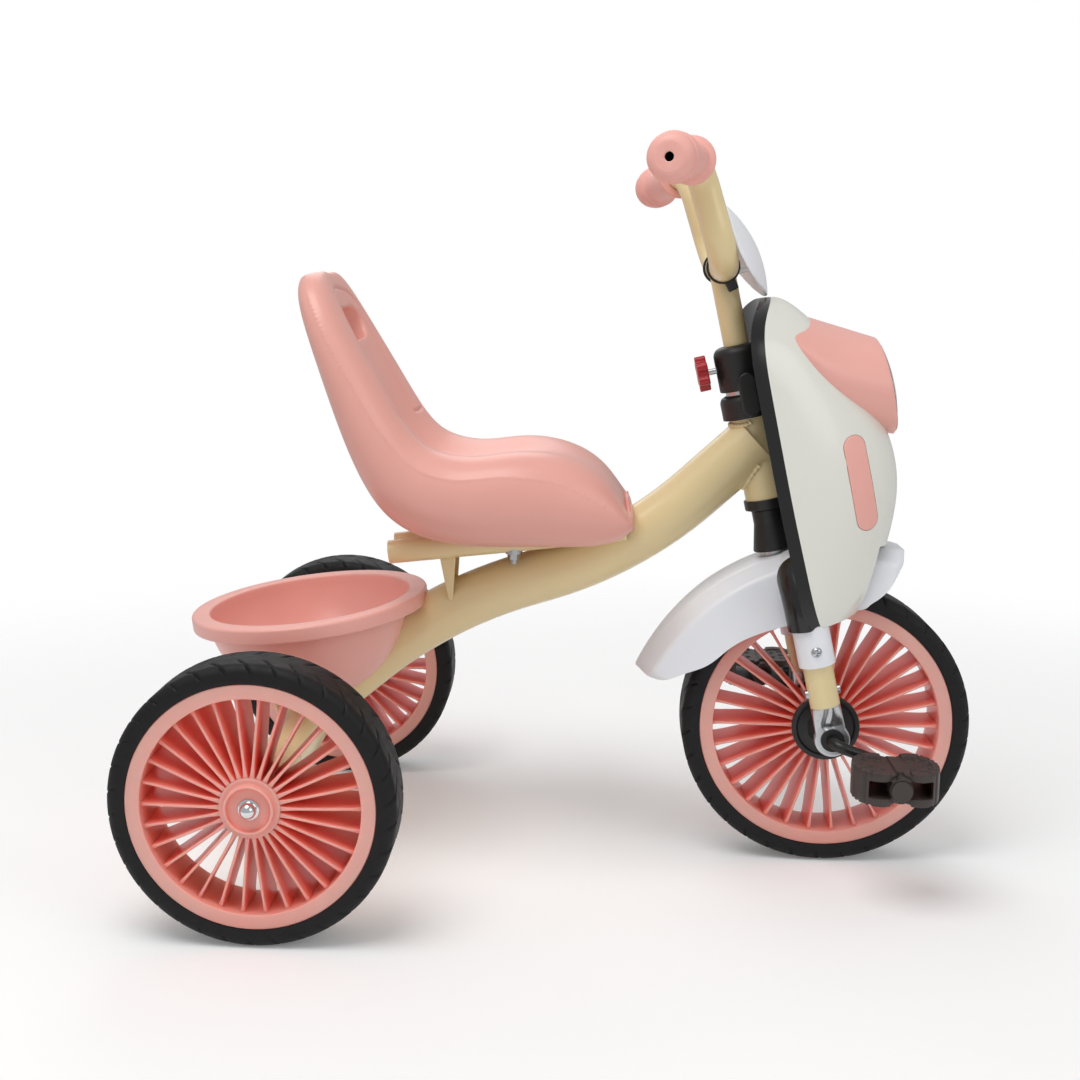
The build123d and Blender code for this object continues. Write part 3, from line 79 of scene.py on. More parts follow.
class FinishSettings(bpy.types.PropertyGroup):
    """Colours of the finishes as sRGB hex values."""
    pink: StringProperty(name="Pink", description="Moulded pink plastic", default="#F0B0A5")
    seat: StringProperty(name="Seat", description="Blow-moulded pink plastic", default="#EAA99D")
    cream: StringProperty(name="Cream paint", description="Powder coat on the steel tubes", default="#E9D5A2")
    ivory: StringProperty(name="Ivory", description="Glossy moulded cowl", default="#E7E7DE")
    white: StringProperty(name="White", description="Moulded fender and visor", default="#EEF0F5")
    black: StringProperty(name="Black", description="Moulded black plastics", default="#181818")
    pedal: StringProperty(name="Pedal", description="Moulded pedals", default="#3A312E")
    # Painted shade: a deep coral mixed in between the fins where walls are near, standing in for their shade
    # and bounced glow
    recess: StringProperty(name="Recess", description="Pink plastic deep between the fins", default="#FF7460")
    rubber: StringProperty(name="Foam", description="Foam tyres", default="#141416")
    red: StringProperty(name="Red", description="Clamp knob", default="#B3141F")
    floor: StringProperty(name="Floor", description="Studio floor", default="#F4F4F4")


class TyreSettings(bpy.types.PropertyGroup):
    """Sizes of the foam tyres."""
    grooves: IntProperty(name="Grooves", description="Slanted grooves on each shoulder", default=34, min=8)
    depth: FloatProperty(name="Depth", description="Depth of a groove", default=1.5 * MM, unit="LENGTH")
    width: FloatProperty(name="Width", description="Width of a groove", default=2.6 * MM, unit="LENGTH")
    slant: FloatProperty(
        name="Slant", description="Run round the tyre over one shoulder", default=21 * MM, unit="LENGTH",
    )


class WheelSettings(bpy.types.PropertyGroup):
    """Sizes of the finned wheels."""
    fins: IntProperty(name="Fins", description="Radial fins of a wheel", default=30, min=3)
    fin_thick: FloatProperty(name="Fin", description="Thickness of a fin", default=2.2 * MM, unit="LENGTH")
    fin_set_in: FloatProperty(
        name="Set in", description="Fin edge below the rim face at the hub", default=1.5 * MM, unit="LENGTH",
    )
    fin_hollow: FloatProperty(
        name="Hollow", description="Further set in where a fin meets the rim", default=4 * MM, unit="LENGTH",
    )
    edge: FloatProperty(name="Edge", description="Rounding of moulded edges", default=1.1 * MM, unit="LENGTH")


class SeatSettings(bpy.types.PropertyGroup):
    """Sizes of the moulded seat's skin."""
    voxel: FloatProperty(name="Skin", description="Fineness of the skin", default=1.6 * MM, unit="LENGTH")
    passes: IntProperty(name="Rounding", description="Rounding passes over the edges", default=5, min=0)
    line: FloatProperty(
        name="Line", description="Half width of the pressed lines", default=2.4 * MM, unit="LENGTH",
    )
    pressed: FloatProperty(
        name="Pressed", description="Depth of the pressed lines", default=1.7 * MM, unit="LENGTH",
    )
    raised: FloatProperty(
        name="Parting", description="Height of the parting line", default=0.8 * MM, unit="LENGTH",
    )


class StageSettings(bpy.types.PropertyGroup):
    """Studio floor, light and camera."""
    key_watts: FloatProperty(name="Key", description="Power of the large key light", default=25.0)
    fill_watts: FloatProperty(name="Fill", description="Power of the fill light", default=7.0)
    sky: FloatProperty(name="Sky", description="Strength of the even surrounding light", default=0.5)
    lift: FloatProperty(
        name="Lift", description="Glow of the floor that keeps it white in the view", default=0.12,
    )
    lens: FloatProperty(
        name="Lens", description="Focal length on a 36 mm sensor, in millimetres", default=50.70,
    )


def settings(name):
    return getattr(bpy.context.scene, "tricycle_" + name)


def linear(code):
    """sRGB hex value to a linear colour."""
    values = [int(code[i:i + 2], 16) / 255 for i in (1, 3, 5)]
    return [v / 12.92 if v <= 0.04045 else ((v + 0.055) / 1.055) ** 2.4 for v in values] + [1.0]


def add_node(tree, kind, inputs=None, **options):
    """Adds a node with its options, input values and links."""
    node = tree.nodes.new(kind)
    for key, value in options.items():
        setattr(node, key, value)
    for socket, value in (inputs or {}).items():
        if isinstance(value, bpy.types.NodeSocket):
            tree.links.new(value, node.inputs[socket])
        else:
            node.inputs[socket].default_value = value
    return node


def combine(tree, operation, a, b):
    """Output of a math node over two values."""
    return add_node(tree, "ShaderNodeMath", {0: a, 1: b}, operation=operation).outputs[0]


def shade(code, factor):
    """Linear colour made lighter or darker."""
    return [min(channel * factor, 1.0) for channel in linear(code)[:3]] + [1.0]


def moulded(name, code, rough, grain_mm, grain_depth_mm, mottle=0.05, mottle_mm=45, recess=None, **shader):
    """Moulded or coated surface: faint mottling, uneven gloss, a fine skin and, where a recess colour is
    given, painted shade in that colour in the recesses.
    """
    if name in bpy.data.materials:
        return bpy.data.materials[name]
    material = bpy.data.materials.new(name)
    material.use_nodes = True
    tree = material.node_tree
    tree.nodes.clear()
    place = add_node(tree, "ShaderNodeTexCoord").outputs["Object"]
    cloud = add_node(tree, "ShaderNodeTexNoise", {"Vector": place, "Scale": 1000 / mottle_mm, "Detail": 3.0})
    colour = add_node(tree, "ShaderNodeMix", {
        0: cloud.outputs["Fac"],
        6: shade(code, 1 - mottle),
        7: shade(code, 1 + mottle),
    }, data_type="RGBA")
    tone = colour.outputs[2]
    # Painted shade: the recess colour is mixed in where ambient occlusion finds walls near
    if recess:
        share = add_node(tree, "ShaderNodeAmbientOcclusion", {"Distance": PAINTED_SHADE_REACH}, samples=6)
        deep = add_node(tree, "ShaderNodeMix", {
            0: share.outputs["AO"],
            6: linear(recess),
            7: tone,
        }, data_type="RGBA")
        tone = deep.outputs[2]
    gloss = add_node(tree, "ShaderNodeMapRange", {
        "Value": cloud.outputs["Fac"],
        "From Min": 0.3,
        "From Max": 0.7,
        "To Min": rough * (1 - GLOSS_SPREAD),
        "To Max": rough * (1 + GLOSS_SPREAD),
    })
    grain = add_node(tree, "ShaderNodeTexNoise", {"Vector": place, "Scale": 1000 / grain_mm, "Detail": 2.0})
    skin = add_node(tree, "ShaderNodeBump", {
        "Height": grain.outputs["Fac"],
        "Strength": SKIN_STRENGTH,
        "Distance": grain_depth_mm * MM,
    })
    inputs = {
        "Base Color": tone,
        "Roughness": gloss.outputs["Result"],
        "Normal": skin.outputs["Normal"],
    }
    inputs.update({key.replace("_", " "): value for key, value in shader.items()})
    surface = add_node(tree, "ShaderNodeBsdfPrincipled", inputs)
    add_node(tree, "ShaderNodeOutputMaterial", {"Surface": surface.outputs["BSDF"]})
    return material


def pink_plastic():
    """Injection-moulded polypropylene: soft even gloss with a faintly wavy skin."""
    return moulded("pink_polypropylene_moulded", settings("finish").pink, 0.36, 1.6, 0.018, 0.035, IOR=1.49)


def wheel_plastic():
    """Injection-moulded polypropylene: satin, glowing through thin fins, with painted shade in a deeper coral
    between them.
    """
    finish = settings("finish")
    return moulded(
        "pink_polypropylene_finned_painted_shade", finish.pink, 0.36, 1.6, 0.018, 0.035, recess=finish.recess, IOR=1.49,
        Subsurface_Weight=0.5, Subsurface_Scale=0.008,
    )


def pedal_plastic():
    """Moulded soft nylon: dull brown-black with a fine grain."""
    return moulded("black_nylon_soft", settings("finish").pedal, 0.5, 0.9, 0.04, 0.12, 14, IOR=1.53)


def amber_plastic():
    """Moulded amber gasket: a dull orange-brown line."""
    return moulded("amber_gasket_moulded", "#B4683C", 0.4, 1.0, 0.01, 0.08, 12, IOR=1.5)


def seat_plastic():
    """Blow-moulded polyethylene: a satin skin with a fine leathery grain."""
    return moulded("pink_polyethylene_blown", settings("finish").seat, 0.36, 0.9, 0.03, 0.04, IOR=1.51)


def grip_plastic():
    """Soft moulded vinyl: a matt skin with a fine pebble."""
    return moulded("pink_vinyl_moulded", settings("finish").pink, 0.5, 1.1, 0.07, 0.04, IOR=1.53)


def cream_paint():
    """Powder-coated steel: a glossy coat with a slight orange peel."""
    return moulded(
        "cream_powder_coat", settings("finish").cream, 0.3, 2.6, 0.02, 0.025, 80, IOR=1.5,
        Coat_Weight=0.35, Coat_Roughness=0.12,
    )


def ivory_plastic():
    """Polished-mould ABS: a clear gloss with long soft highlights."""
    return moulded(
        "ivory_abs_moulded", settings("finish").ivory, 0.24, 3.0, 0.008, 0.012, 90, IOR=1.54,
        Coat_Weight=0.25, Coat_Roughness=0.06,
    )


def white_plastic():
    """Thin moulded polypropylene: cool white, a little milky."""
    return moulded(
        "white_polypropylene_moulded", settings("finish").white, 0.33, 1.8, 0.012, 0.012, 70, IOR=1.49,
        Subsurface_Weight=0.08, Subsurface_Scale=0.003,
    )


def black_plastic():
    """Moulded black nylon: satin with a fine spark-eroded grain."""
    return moulded("black_nylon_moulded", settings("finish").black, 0.42, 0.8, 0.03, 0.15, 12, IOR=1.53)


def black_gloss():
    """Polished-mould black ABS: deep gloss."""
    return moulded("black_abs_moulded", "#131315", 0.2, 2.2, 0.008, 0.1, 30, IOR=1.54)


def black_paint():
    """Dipped black paint on steel rod: satin, slightly uneven."""
    return moulded("black_dip_paint", "#161616", 0.36, 1.5, 0.02, 0.15, 15, IOR=1.5)


def foam_rubber():
    """Moulded EVA foam: dull black with a fine closed-cell skin."""
    return moulded("black_eva_foam", settings("finish").rubber, 0.58, 0.9, 0.05, 0.16, 9, IOR=1.36)


def red_plastic():
    """Injection-moulded ABS: bright red gloss."""
    return moulded("red_abs_moulded", settings("finish").red, 0.28, 1.4, 0.012, 0.06, 20, IOR=1.54)


def zinc_plate():
    """Bright zinc plating on pressed steel: a cool shine with cloudy patches."""
    return moulded("zinc_plated_steel", "#C4C7CA", 0.3, 0.7, 0.01, 0.14, 7, Metallic=1.0)


def chrome_plate():
    """Polished chrome on steel: a clean mirror with faint waves."""
    return moulded("chrome_plated_steel", "#DDE0E3", 0.09, 4.0, 0.004, 0.03, 12, Metallic=1.0)


def bright_metal():
    """Vacuum-metallised plastic bowl: a soft bright mirror."""
    return moulded("metallised_reflector", "#D9DCDF", 0.16, 2.0, 0.02, 0.04, 8, Metallic=1.0)


def clear_plastic():
    """Clear moulded polycarbonate: a thin see-through dome with a sharp shine."""
    return moulded(
        "clear_polycarbonate", "#F4F5F6", 0.05, 3.0, 0.006, 0.01, 30, IOR=1.58, Transmission_Weight=0.92,
    )


SHOWN_NODES = {
    cream_paint: (
        "main_tube", "head_tube", "rear_axle_tube", "seat_rail_right", "seat_rail_left", "rail_gusset",
        "fork_tube", "handlebar",
    ),
    pink_plastic: ("lamp_surround", "side_accent_right", "side_accent_left", "basket"),
    seat_plastic: ("seat_shell",),
    grip_plastic: ("grip_right", "grip_left"),
    ivory_plastic: ("cowl_shell",),
    white_plastic: ("front_fender", "visor"),
    black_gloss: ("cowl_back",),
    black_paint: ("crank", "cowl_screws"),
    black_plastic: (
        "axle_bushes", "head_cup_lower", "head_cup_upper", "crank_bushes", "crown_cover", "stem_sleeve",
        "cowl_clips", "hub_discs", "visor_ties",
    ),
    pedal_plastic: ("pedal_right", "pedal_left", "pedal_cap_right", "pedal_cap_left"),
    zinc_plate: (
        "seat_bolts", "seat_nuts", "basket_screws", "rear_axle", "fork_steerer", "fork_end_right",
        "fork_end_left", "fork_rivets", "fender_screws", "steering_washer", "clamp_bolt",
    ),
    chrome_plate: ("axle_cap_nuts",),
    red_plastic: ("clamp_knob",),
    clear_plastic: ("lamp_lens",),
    bright_metal: ("lamp_reflector",),
}


def add_piece(name, form, body, material, replaced=(), sharp=40):
    """Links a finished form as a smooth-shaded piece that rides on a body."""
    mesh = to_mesh(name, form)
    piece = bpy.data.objects.new(name, mesh)
    bpy.context.scene.collection.objects.link(piece)
    mesh.materials.append(material)
    mesh.shade_smooth()
    mesh.set_sharp_from_angle(angle=radians(sharp))
    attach(piece, body)
    if replaced:
        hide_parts(*replaced)


def to_mesh(name, form):
    """Finished mesh of a bmesh, with its normals outward."""
    bmesh.ops.recalc_face_normals(form, faces=form.faces)
    mesh = bpy.data.meshes.new(name)
    form.to_mesh(mesh)
    form.free()
    return mesh


def skin(form, rows, wrap_rows=False, wrap_columns=False, caps=False):
    """Adds quads over rows of points, with the rows or columns joined round, or flat caps on the end rows."""
    grid = [[form.verts.new(point) for point in row] for row in rows]
    count = len(grid)
    width = len(grid[0])
    for i in range(count if wrap_rows else count - 1):
        for j in range(width if wrap_columns else width - 1):
            a, b = grid[i], grid[(i + 1) % count]
            k = (j + 1) % width
            form.faces.new((a[j], a[k], b[k], b[j]))
    if caps:
        form.faces.new(grid[0])
        form.faces.new(grid[-1])


def rounded(points, radius, steps=4):
    """Closed 2-D outline with its corners rounded, each by no more than its edges allow."""
    outline = []
    for index, point in enumerate(points):
        here = Vector(point)
        before = Vector(points[index - 1]) - here
        after = Vector(points[(index + 1) % len(points)]) - here
        half = before.angle(after) / 2
        reach = min(radius / tan(half), before.length * 0.45, after.length * 0.45)
        bend = reach * tan(half)
        inward = (before.normalized() + after.normalized()).normalized()
        centre = here + inward * (bend / sin(half))
        start = here + before.normalized() * reach - centre
        end = here + after.normalized() * reach - centre
        turn = start.angle_signed(end, 0)
        for step in range(steps + 1):
            spin = Matrix.Rotation(-turn * step / steps, 2)
            outline.append(tuple(centre + spin @ start))
    return outline


def facing(origin, axis):
    """Frame at a point whose Z runs along an axis."""
    return Matrix.Translation(origin) @ Vector(axis).to_track_quat("Z", "X").to_matrix().to_4x4()


def turn_solid(form, outline, place, count, closed=True):
    """Adds a ring from a closed outline of (radius, place along Z), or a cap from an open one."""
    rows = []
    for index in range(count):
        turn = 2 * pi * index / count
        rows.append([place @ Vector((r * cos(turn), r * sin(turn), along)) for r, along in outline])
    skin(form, rows, wrap_rows=True, wrap_columns=closed)
    bmesh.ops.remove_doubles(form, verts=form.verts, dist=1e-7)


def bent(corners, radii, steps=10):
    """Points along a line of corners with round bends."""
    corners = [Vector(corner) for corner in corners]
    points = [corners[0]]
    for before, here, after, radius in zip(corners, corners[1:], corners[2:], radii):
        back = (before - here).normalized()
        ahead = (after - here).normalized()
        half = back.angle(ahead) / 2
        centre = here + (back + ahead).normalized() * radius / sin(half)
        start = (here + back * radius / tan(half) - centre).normalized()
        end = (here + ahead * radius / tan(half) - centre).normalized()
        points += [centre + start.slerp(end, step / steps) * radius for step in range(steps + 1)]
    return points + [corners[-1]]


def tube_rows(path, radius, count=24):
    """Rows of round sections along a path, turned as little as possible from one to the next."""
    rows = []
    side = (path[1] - path[0]).orthogonal().normalized()
    for index, point in enumerate(path):
        along = (path[min(index + 1, len(path) - 1)] - path[max(index - 1, 0)]).normalized()
        side = (side - along * side.dot(along)).normalized()
        other = along.cross(side)
        r = radius[index] if isinstance(radius, list) else radius
        turns = [2 * pi * k / count for k in range(count)]
        rows.append([point + (side * cos(turn) + other * sin(turn)) * r for turn in turns])
    return rows


def relax(form, verts, passes):
    """Rounds vertices off by a few smoothing passes."""
    axes = {"use_axis_x": True, "use_axis_y": True, "use_axis_z": True}
    for _ in range(passes):
        bmesh.ops.smooth_vert(form, verts=verts, factor=0.5, **axes)


def softened(node, voxel, passes):
    """Copy of a solid with rounded edges, without the closed hollows inside it."""
    copy = bpy.data.objects.new("copy", NODES[node].data.copy())
    bpy.context.scene.collection.objects.link(copy)
    remesh = copy.modifiers.new("remesh", "REMESH")
    remesh.mode = "VOXEL"
    remesh.voxel_size = voxel
    whole = copy.evaluated_get(bpy.context.evaluated_depsgraph_get()).to_mesh()
    form = bmesh.new()
    form.from_mesh(whole)
    bpy.data.objects.remove(copy)
    drop_hollows(form)
    relax(form, form.verts, passes)
    form.normal_update()
    return form


def drop_hollows(form):
    """Removes surfaces that face inward round a closed hollow."""
    left = set(form.verts)
    while left:
        island = {left.pop()}
        front = list(island)
        while front:
            near = [edge.other_vert(vert) for vert in front for edge in vert.link_edges]
            front = [vert for vert in set(near) if vert not in island]
            island.update(front)
        left -= island
        faces = {face for vert in island for face in vert.link_faces}
        volume = sum(face.calc_center_median().dot(face.normal) * face.calc_area() for face in faces)
        if volume < 0:
            bmesh.ops.delete(form, geom=list(island), context="VERTS")


class TRICYCLE_OT_paint(bpy.types.Operator):
    """Gives every solid left showing its finish"""
    bl_idname = "tricycle.paint"
    bl_label = "Finishes"

    def execute(self, context):
        for make, names in SHOWN_NODES.items():
            for name in names:
                mesh = NODES[name].data
                mesh.materials.clear()
                mesh.materials.append(make())
        return {"FINISHED"}


# Wheel, tyre and the side its hub faces
WHEELS = {
    "rear_right": ("rear_wheel_right", "rear_tyre_right", -1),
    "rear_left": ("rear_wheel_left", "rear_tyre_left", 1),
    "front": ("front_wheel", "front_tyre", 0),
}
TYRE_SIDE = 15.5 * MM            # foam outside the rim
TYRE_BEND = 8.5 * MM             # rounding of a shoulder
TYRE_BULGE = 0.7 * MM            # of the wall between its edges
# A groove's ends, how it rises and falls there and how it curves, over the way from the wall to the middle
GROOVE_FROM = 0.02
GROOVE_TO = 0.86
GROOVE_RISE = 0.12
GROOVE_FALL = 0.14
GROOVE_CURVE = 1.3
GROOVE_FINENESS = 20             # rows of points for each groove
RIM_RING = 12 * MM
RIM_WALL = 3 * MM
RIM_SET_IN = 1 * MM


def tyre_outline(radius, half):
    """Outline of a tyre's section and how far each point is onto the tread, from 0 on the wall to 1."""
    edge = radius - TYRE_SIDE
    floor = edge - RIM_RING + RIM_WALL
    channel = half - RIM_SET_IN - RIM_WALL
    bend = TYRE_BEND
    wall_steps, bend_steps, tread_steps = 4, 9, 9
    side = []
    for step in range(wall_steps):
        t = step / wall_steps
        side.append((edge + (radius - bend - edge) * t, half - TYRE_BULGE * (1 - sin(pi * t)), 0.0))
    for step in range(bend_steps):
        turn = radians(90 * step / bend_steps)
        r = radius - bend + bend * sin(turn)
        side.append((r, half - bend + bend * cos(turn), 0.5 * step / bend_steps))
    for step in range(tread_steps + 1):
        t = step / tread_steps
        side.append((radius, (half - bend) * (1 - t), 0.5 + 0.5 * t))
    other = [(r, -y, on) for r, y, on in reversed(side[:-1])]
    seat = [(edge, -channel, 0), (floor, -channel, 0), (floor, channel, 0), (edge, channel, 0)]
    return side + other + seat


class TRICYCLE_OT_tyres(bpy.types.Operator):
    """Foam tyres with slanted shoulder grooves"""
    bl_idname = "tricycle.tyres"
    bl_label = "Tyres"

    def execute(self, context):
        sizes = settings("tyre")
        for name, (body, node, _) in WHEELS.items():
            low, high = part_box(node)
            centre = (Vector(low) + Vector(high)) / 2
            radius = (high[2] - low[2]) / 2
            half = (high[1] - low[1]) / 2
            outline = tyre_outline(radius, half)
            count = sizes.grooves * GROOVE_FINENESS
            pitch = 2 * pi * radius / sizes.grooves
            rows = []
            for index in range(count):
                turn = 2 * pi * index / count
                row = []
                for r, y, on in outline:
                    side = 1 if y > 0 else -1
                    cut = 0.0
                    if GROOVE_FROM < on < GROOVE_TO:
                        offset = turn * radius + side * 0.25 * pitch - sizes.slant * (on ** GROOVE_CURVE)
                        across = abs((offset + pitch / 2) % pitch - pitch / 2) / (sizes.width / 2)
                        fade = min(1.0, on / GROOVE_RISE, (GROOVE_TO - on) / GROOVE_FALL)
                        cut = sizes.depth * fade * max(0.0, 1 - across * across)
                    depth = r - cut
                    inward = y - side * cut * max(0.0, 1 - 2 * on)
                    row.append(centre + Vector((depth * cos(turn), inward, depth * sin(turn))))
                rows.append(row)
            form = bmesh.new()
            skin(form, rows, wrap_rows=True, wrap_columns=True)
            add_piece("tyre_" + name, form, body, foam_rubber(), (node,))
        return {"FINISHED"}


HUB_R = 24.5 * MM
HUB_COLLAR_R = 20 * MM
HUB_COLLAR_OUT = 4 * MM
HUB_RECESS_R = 17.5 * MM
HUB_RECESS_DEPTH = 4 * MM
HUB_INNER_SET_IN = 5 * MM
AXLE_R = 5.05 * MM
FRONT_HUB_R = 27 * MM
CRANK_R = 5 * MM
FIN_SWELL = 0.9                  # share by which a fin thickens into the hub and the rim
FIN_EDGE = 0.9 * MM
FIN_ROOT = 1 * MM                # fin sunk into the hub


def fin_rows(hub_r, reach, half, sizes):
    """Rows of one fin along X: a thin blade across the wheel with a hollowed edge and rounded rims."""
    rows = []
    stations = 12
    for station in range(stations + 1):
        t = station / stations
        r = hub_r + (reach - hub_r) * t
        edge = half - sizes.fin_hollow * t * t
        root = (1 - min(1, 4 * t)) ** 2
        tip = (1 - min(1, 6 * (1 - t))) ** 2
        thick = sizes.fin_thick / 2 * (1 + FIN_SWELL * root + FIN_SWELL * tip)
        rim = min(thick, FIN_EDGE)
        section = rounded([(-thick, -edge), (thick, -edge), (thick, edge), (-thick, edge)], rim, 3)
        rows.append([Vector((r, y, z)) for z, y in section])
    return rows


class TRICYCLE_OT_wheels(bpy.types.Operator):
    """Finned plastic wheels"""
    bl_idname = "tricycle.wheels"
    bl_label = "Wheels"

    def execute(self, context):
        sizes = settings("wheel")
        for name, (node, tyre, outward) in WHEELS.items():
            low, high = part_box(tyre)
            centre = (Vector(low) + Vector(high)) / 2
            half = (high[1] - low[1]) / 2
            edge = (high[2] - low[2]) / 2 - TYRE_SIDE
            inner = edge - RIM_RING
            face = half - RIM_SET_IN
            form = bmesh.new()
            rim = rounded([
                (inner, -face), (edge, -face), (edge, RIM_WALL - face), (inner + RIM_WALL, RIM_WALL - face),
                (inner + RIM_WALL, face - RIM_WALL), (edge, face - RIM_WALL), (edge, face), (inner, face),
            ], sizes.edge)
            place = facing(centre, (0, 1, 0))
            turn_solid(form, rim, place, 160)
            if outward:
                out = half + HUB_COLLAR_OUT
                hub = [
                    (AXLE_R, out - HUB_RECESS_DEPTH), (HUB_RECESS_R, out - HUB_RECESS_DEPTH),
                    (HUB_RECESS_R, out), (HUB_COLLAR_R, out), (HUB_COLLAR_R, face), (HUB_R, face),
                    (HUB_R, HUB_INNER_SET_IN - half), (AXLE_R, HUB_INNER_SET_IN - half),
                ]
                hub = [(r, outward * y) for r, y in hub]
                hub_r = HUB_R
            else:
                hub = [(CRANK_R, -face), (FRONT_HUB_R, -face), (FRONT_HUB_R, face), (CRANK_R, face)]
                hub_r = FRONT_HUB_R
            turn_solid(form, rounded(hub, sizes.edge), place, 96)
            fin = fin_rows(hub_r - FIN_ROOT, inner + RIM_WALL / 2, face - sizes.fin_set_in, sizes)
            for index in range(sizes.fins):
                spin = Matrix.Translation(centre) @ Matrix.Rotation(2 * pi * index / sizes.fins, 4, "Y")
                skin(form, [[spin @ point for point in row] for row in fin], wrap_columns=True, caps=True)
            add_piece("wheel_" + name, form, node, wheel_plastic(), (node,))
        return {"FINISHED"}


def smooth_line(points, steps=12):
    """Smooth curve through points of any dimension."""
    points = [Vector(point) for point in points]
    line = []
    for index in range(len(points) - 1):
        a = points[max(index - 1, 0)]
        b, c = points[index], points[index + 1]
        d = points[min(index + 2, len(points) - 1)]
        for step in range(steps):
            t = step / steps
            line.append(b + ((c - a) + (a * 2 - b * 5 + c * 4 - d + (b * 3 - a - c * 3 + d) * t) * t) * t / 2)
    return line + [points[-1]]


def nearest(line):
    """Search tree over the points of a line, for distances in two or three dimensions."""
    tree = KDTree(len(line))
    for index, point in enumerate(line):
        tree.insert(point.to_3d(), index)
    tree.balance()
    return tree


def press(form, tree, flat, chosen, width, depth):
    """Presses a rounded groove along a search tree's line, as deep as each vertex's chosen share."""
    for vert in form.verts:
        share = chosen(vert)
        if share > 0:
            distance = tree.find(flat(vert.co))[2]
            if distance < width:
                vert.co -= vert.normal * depth * share * cos(pi / 2 * distance / width) ** 2


# Seat: side view of the parting line, ahead of the rear axle and up, in millimetres
SEAT_PARTING = (
    (20, 515), (38, 477), (62, 435), (86, 396), (112, 367), (145, 355), (192, 357), (238, 350), (284, 325),
)
# Lines pressed round the back's panels: across and up
SEAT_OUTER_LINE = ((0, 513), (34, 509), (56, 494), (68, 468), (75, 436), (78, 410), (74, 402))
SEAT_INNER_LINE = ((46, 492), (50, 470), (53, 445), (53, 421), (51, 400))
SEAT_LOWER_LINE = ((74, 402), (62, 400), (51, 400))
SEAT_BACK_HALF = 90 * MM         # the panels lie within this of the mid plane
SEAT_BACK_FROM = 390 * MM        # and above this height


class TRICYCLE_OT_seat(bpy.types.Operator):
    """Blow-moulded seat with its parting line and pressed back panels"""
    bl_idname = "tricycle.seat"
    bl_label = "Seat"

    def execute(self, context):
        sizes = settings("seat")
        form = softened("seat_shell", sizes.voxel, sizes.passes)
        side = smooth_line([(REAR_AXLE.x + x * MM, z * MM) for x, z in SEAT_PARTING])
        press(form, nearest(side), lambda co: (co.x, co.z, 0), self.on_side, sizes.line, -sizes.raised)
        lines = []
        for control in (SEAT_OUTER_LINE, SEAT_INNER_LINE, SEAT_LOWER_LINE):
            lines += smooth_line([(y * MM, z * MM) for y, z in control], 40)
        press(
            form, nearest(lines), lambda co: (abs(co.y), co.z, 0), self.on_back_panel,
            sizes.line, sizes.pressed,
        )
        add_piece("seat", form, "frame", seat_plastic(), ("seat_shell",), 180)
        return {"FINISHED"}

    def on_side(self, vert):
        """Share of the parting line's height, from none on top to all of it on the sides."""
        return min(2.5 * abs(vert.normal.y) - 1, 1)

    def on_back_panel(self, vert):
        """Whether a vertex is on the front of the back."""
        faces_ahead = vert.normal.x + vert.normal.z > 0.5
        return faces_ahead and abs(vert.co.y) < SEAT_BACK_HALF and vert.co.z > SEAT_BACK_FROM


BASKET_X = 4 * MM
BASKET_RIM_Z = 232 * MM
BASKET_TILT = radians(5.5)
BASKET_R = 94 * MM
BASKET_SPREAD = 1.26             # width across over length
BASKET_DEPTH = 92 * MM
BASKET_LIP = 13 * MM
BASKET_LIP_BEND = 2.4 * MM
BASKET_LIP_LAP = 1 * MM          # lip let into the bowl
BASKET_LIP_DRAFT = 0.3 * MM      # lip wider at the top
BASKET_WALL = 3 * MM
BASKET_LIFT = 0.4 * MM           # step by which the bowl is raised over the main tube
TUBE_R = 24.5 * MM
FIT_CLEAR = 0.25 * MM
BASKET_HUMP = TUBE_R + 16 * MM   # reach of the rounding over the main tube
BASKET_PASSES = 18
BASKET_STEPS = 400
# Main tube's axis in the side view, ahead of the rear axle and up, in millimetres
TUBE_CORNERS = ((1.5, 127), (125, 227), (296, 280), (404.0, 377.7))
TUBE_BENDS = (420, 350)


def main_tube_axis():
    corners = [Vector((REAR_AXLE.x + x * MM, 0, z * MM)) for x, z in TUBE_CORNERS]
    line = bent(corners, [radius * MM for radius in TUBE_BENDS], 60)
    return smooth_line(line[:2], 200) + line[2:]


def basket_outline():
    """Closed outline of the bowl and its lip as (radius, height, side), side 1 outside and -1 inside."""
    arc_steps = 34
    lip_r = BASKET_R + BASKET_LIP
    wall = BASKET_WALL
    outside = []
    for step in range(arc_steps + 1):
        turn = pi / 2 * step / arc_steps
        outside.append((BASKET_R * sin(turn), -BASKET_DEPTH * cos(turn), 1))
    narrower, shallower = 1 - wall / BASKET_R, 1 - wall / BASKET_DEPTH
    inside = [(r * narrower, z * shallower, -1) for r, z, _ in reversed(outside)]
    outside = [point for point in outside if point[1] < -wall]
    lip = rounded([
        (BASKET_R - BASKET_LIP_LAP, -wall), (lip_r - wall, -wall), (lip_r - wall, -BASKET_LIP),
        (lip_r, -BASKET_LIP), (lip_r + BASKET_LIP_DRAFT, 0), (BASKET_R - wall, 0), inside[2][:2],
    ], BASKET_LIP_BEND, 5)
    return outside + [(r, z, 0) for r, z in lip[:-6]] + inside[2:]


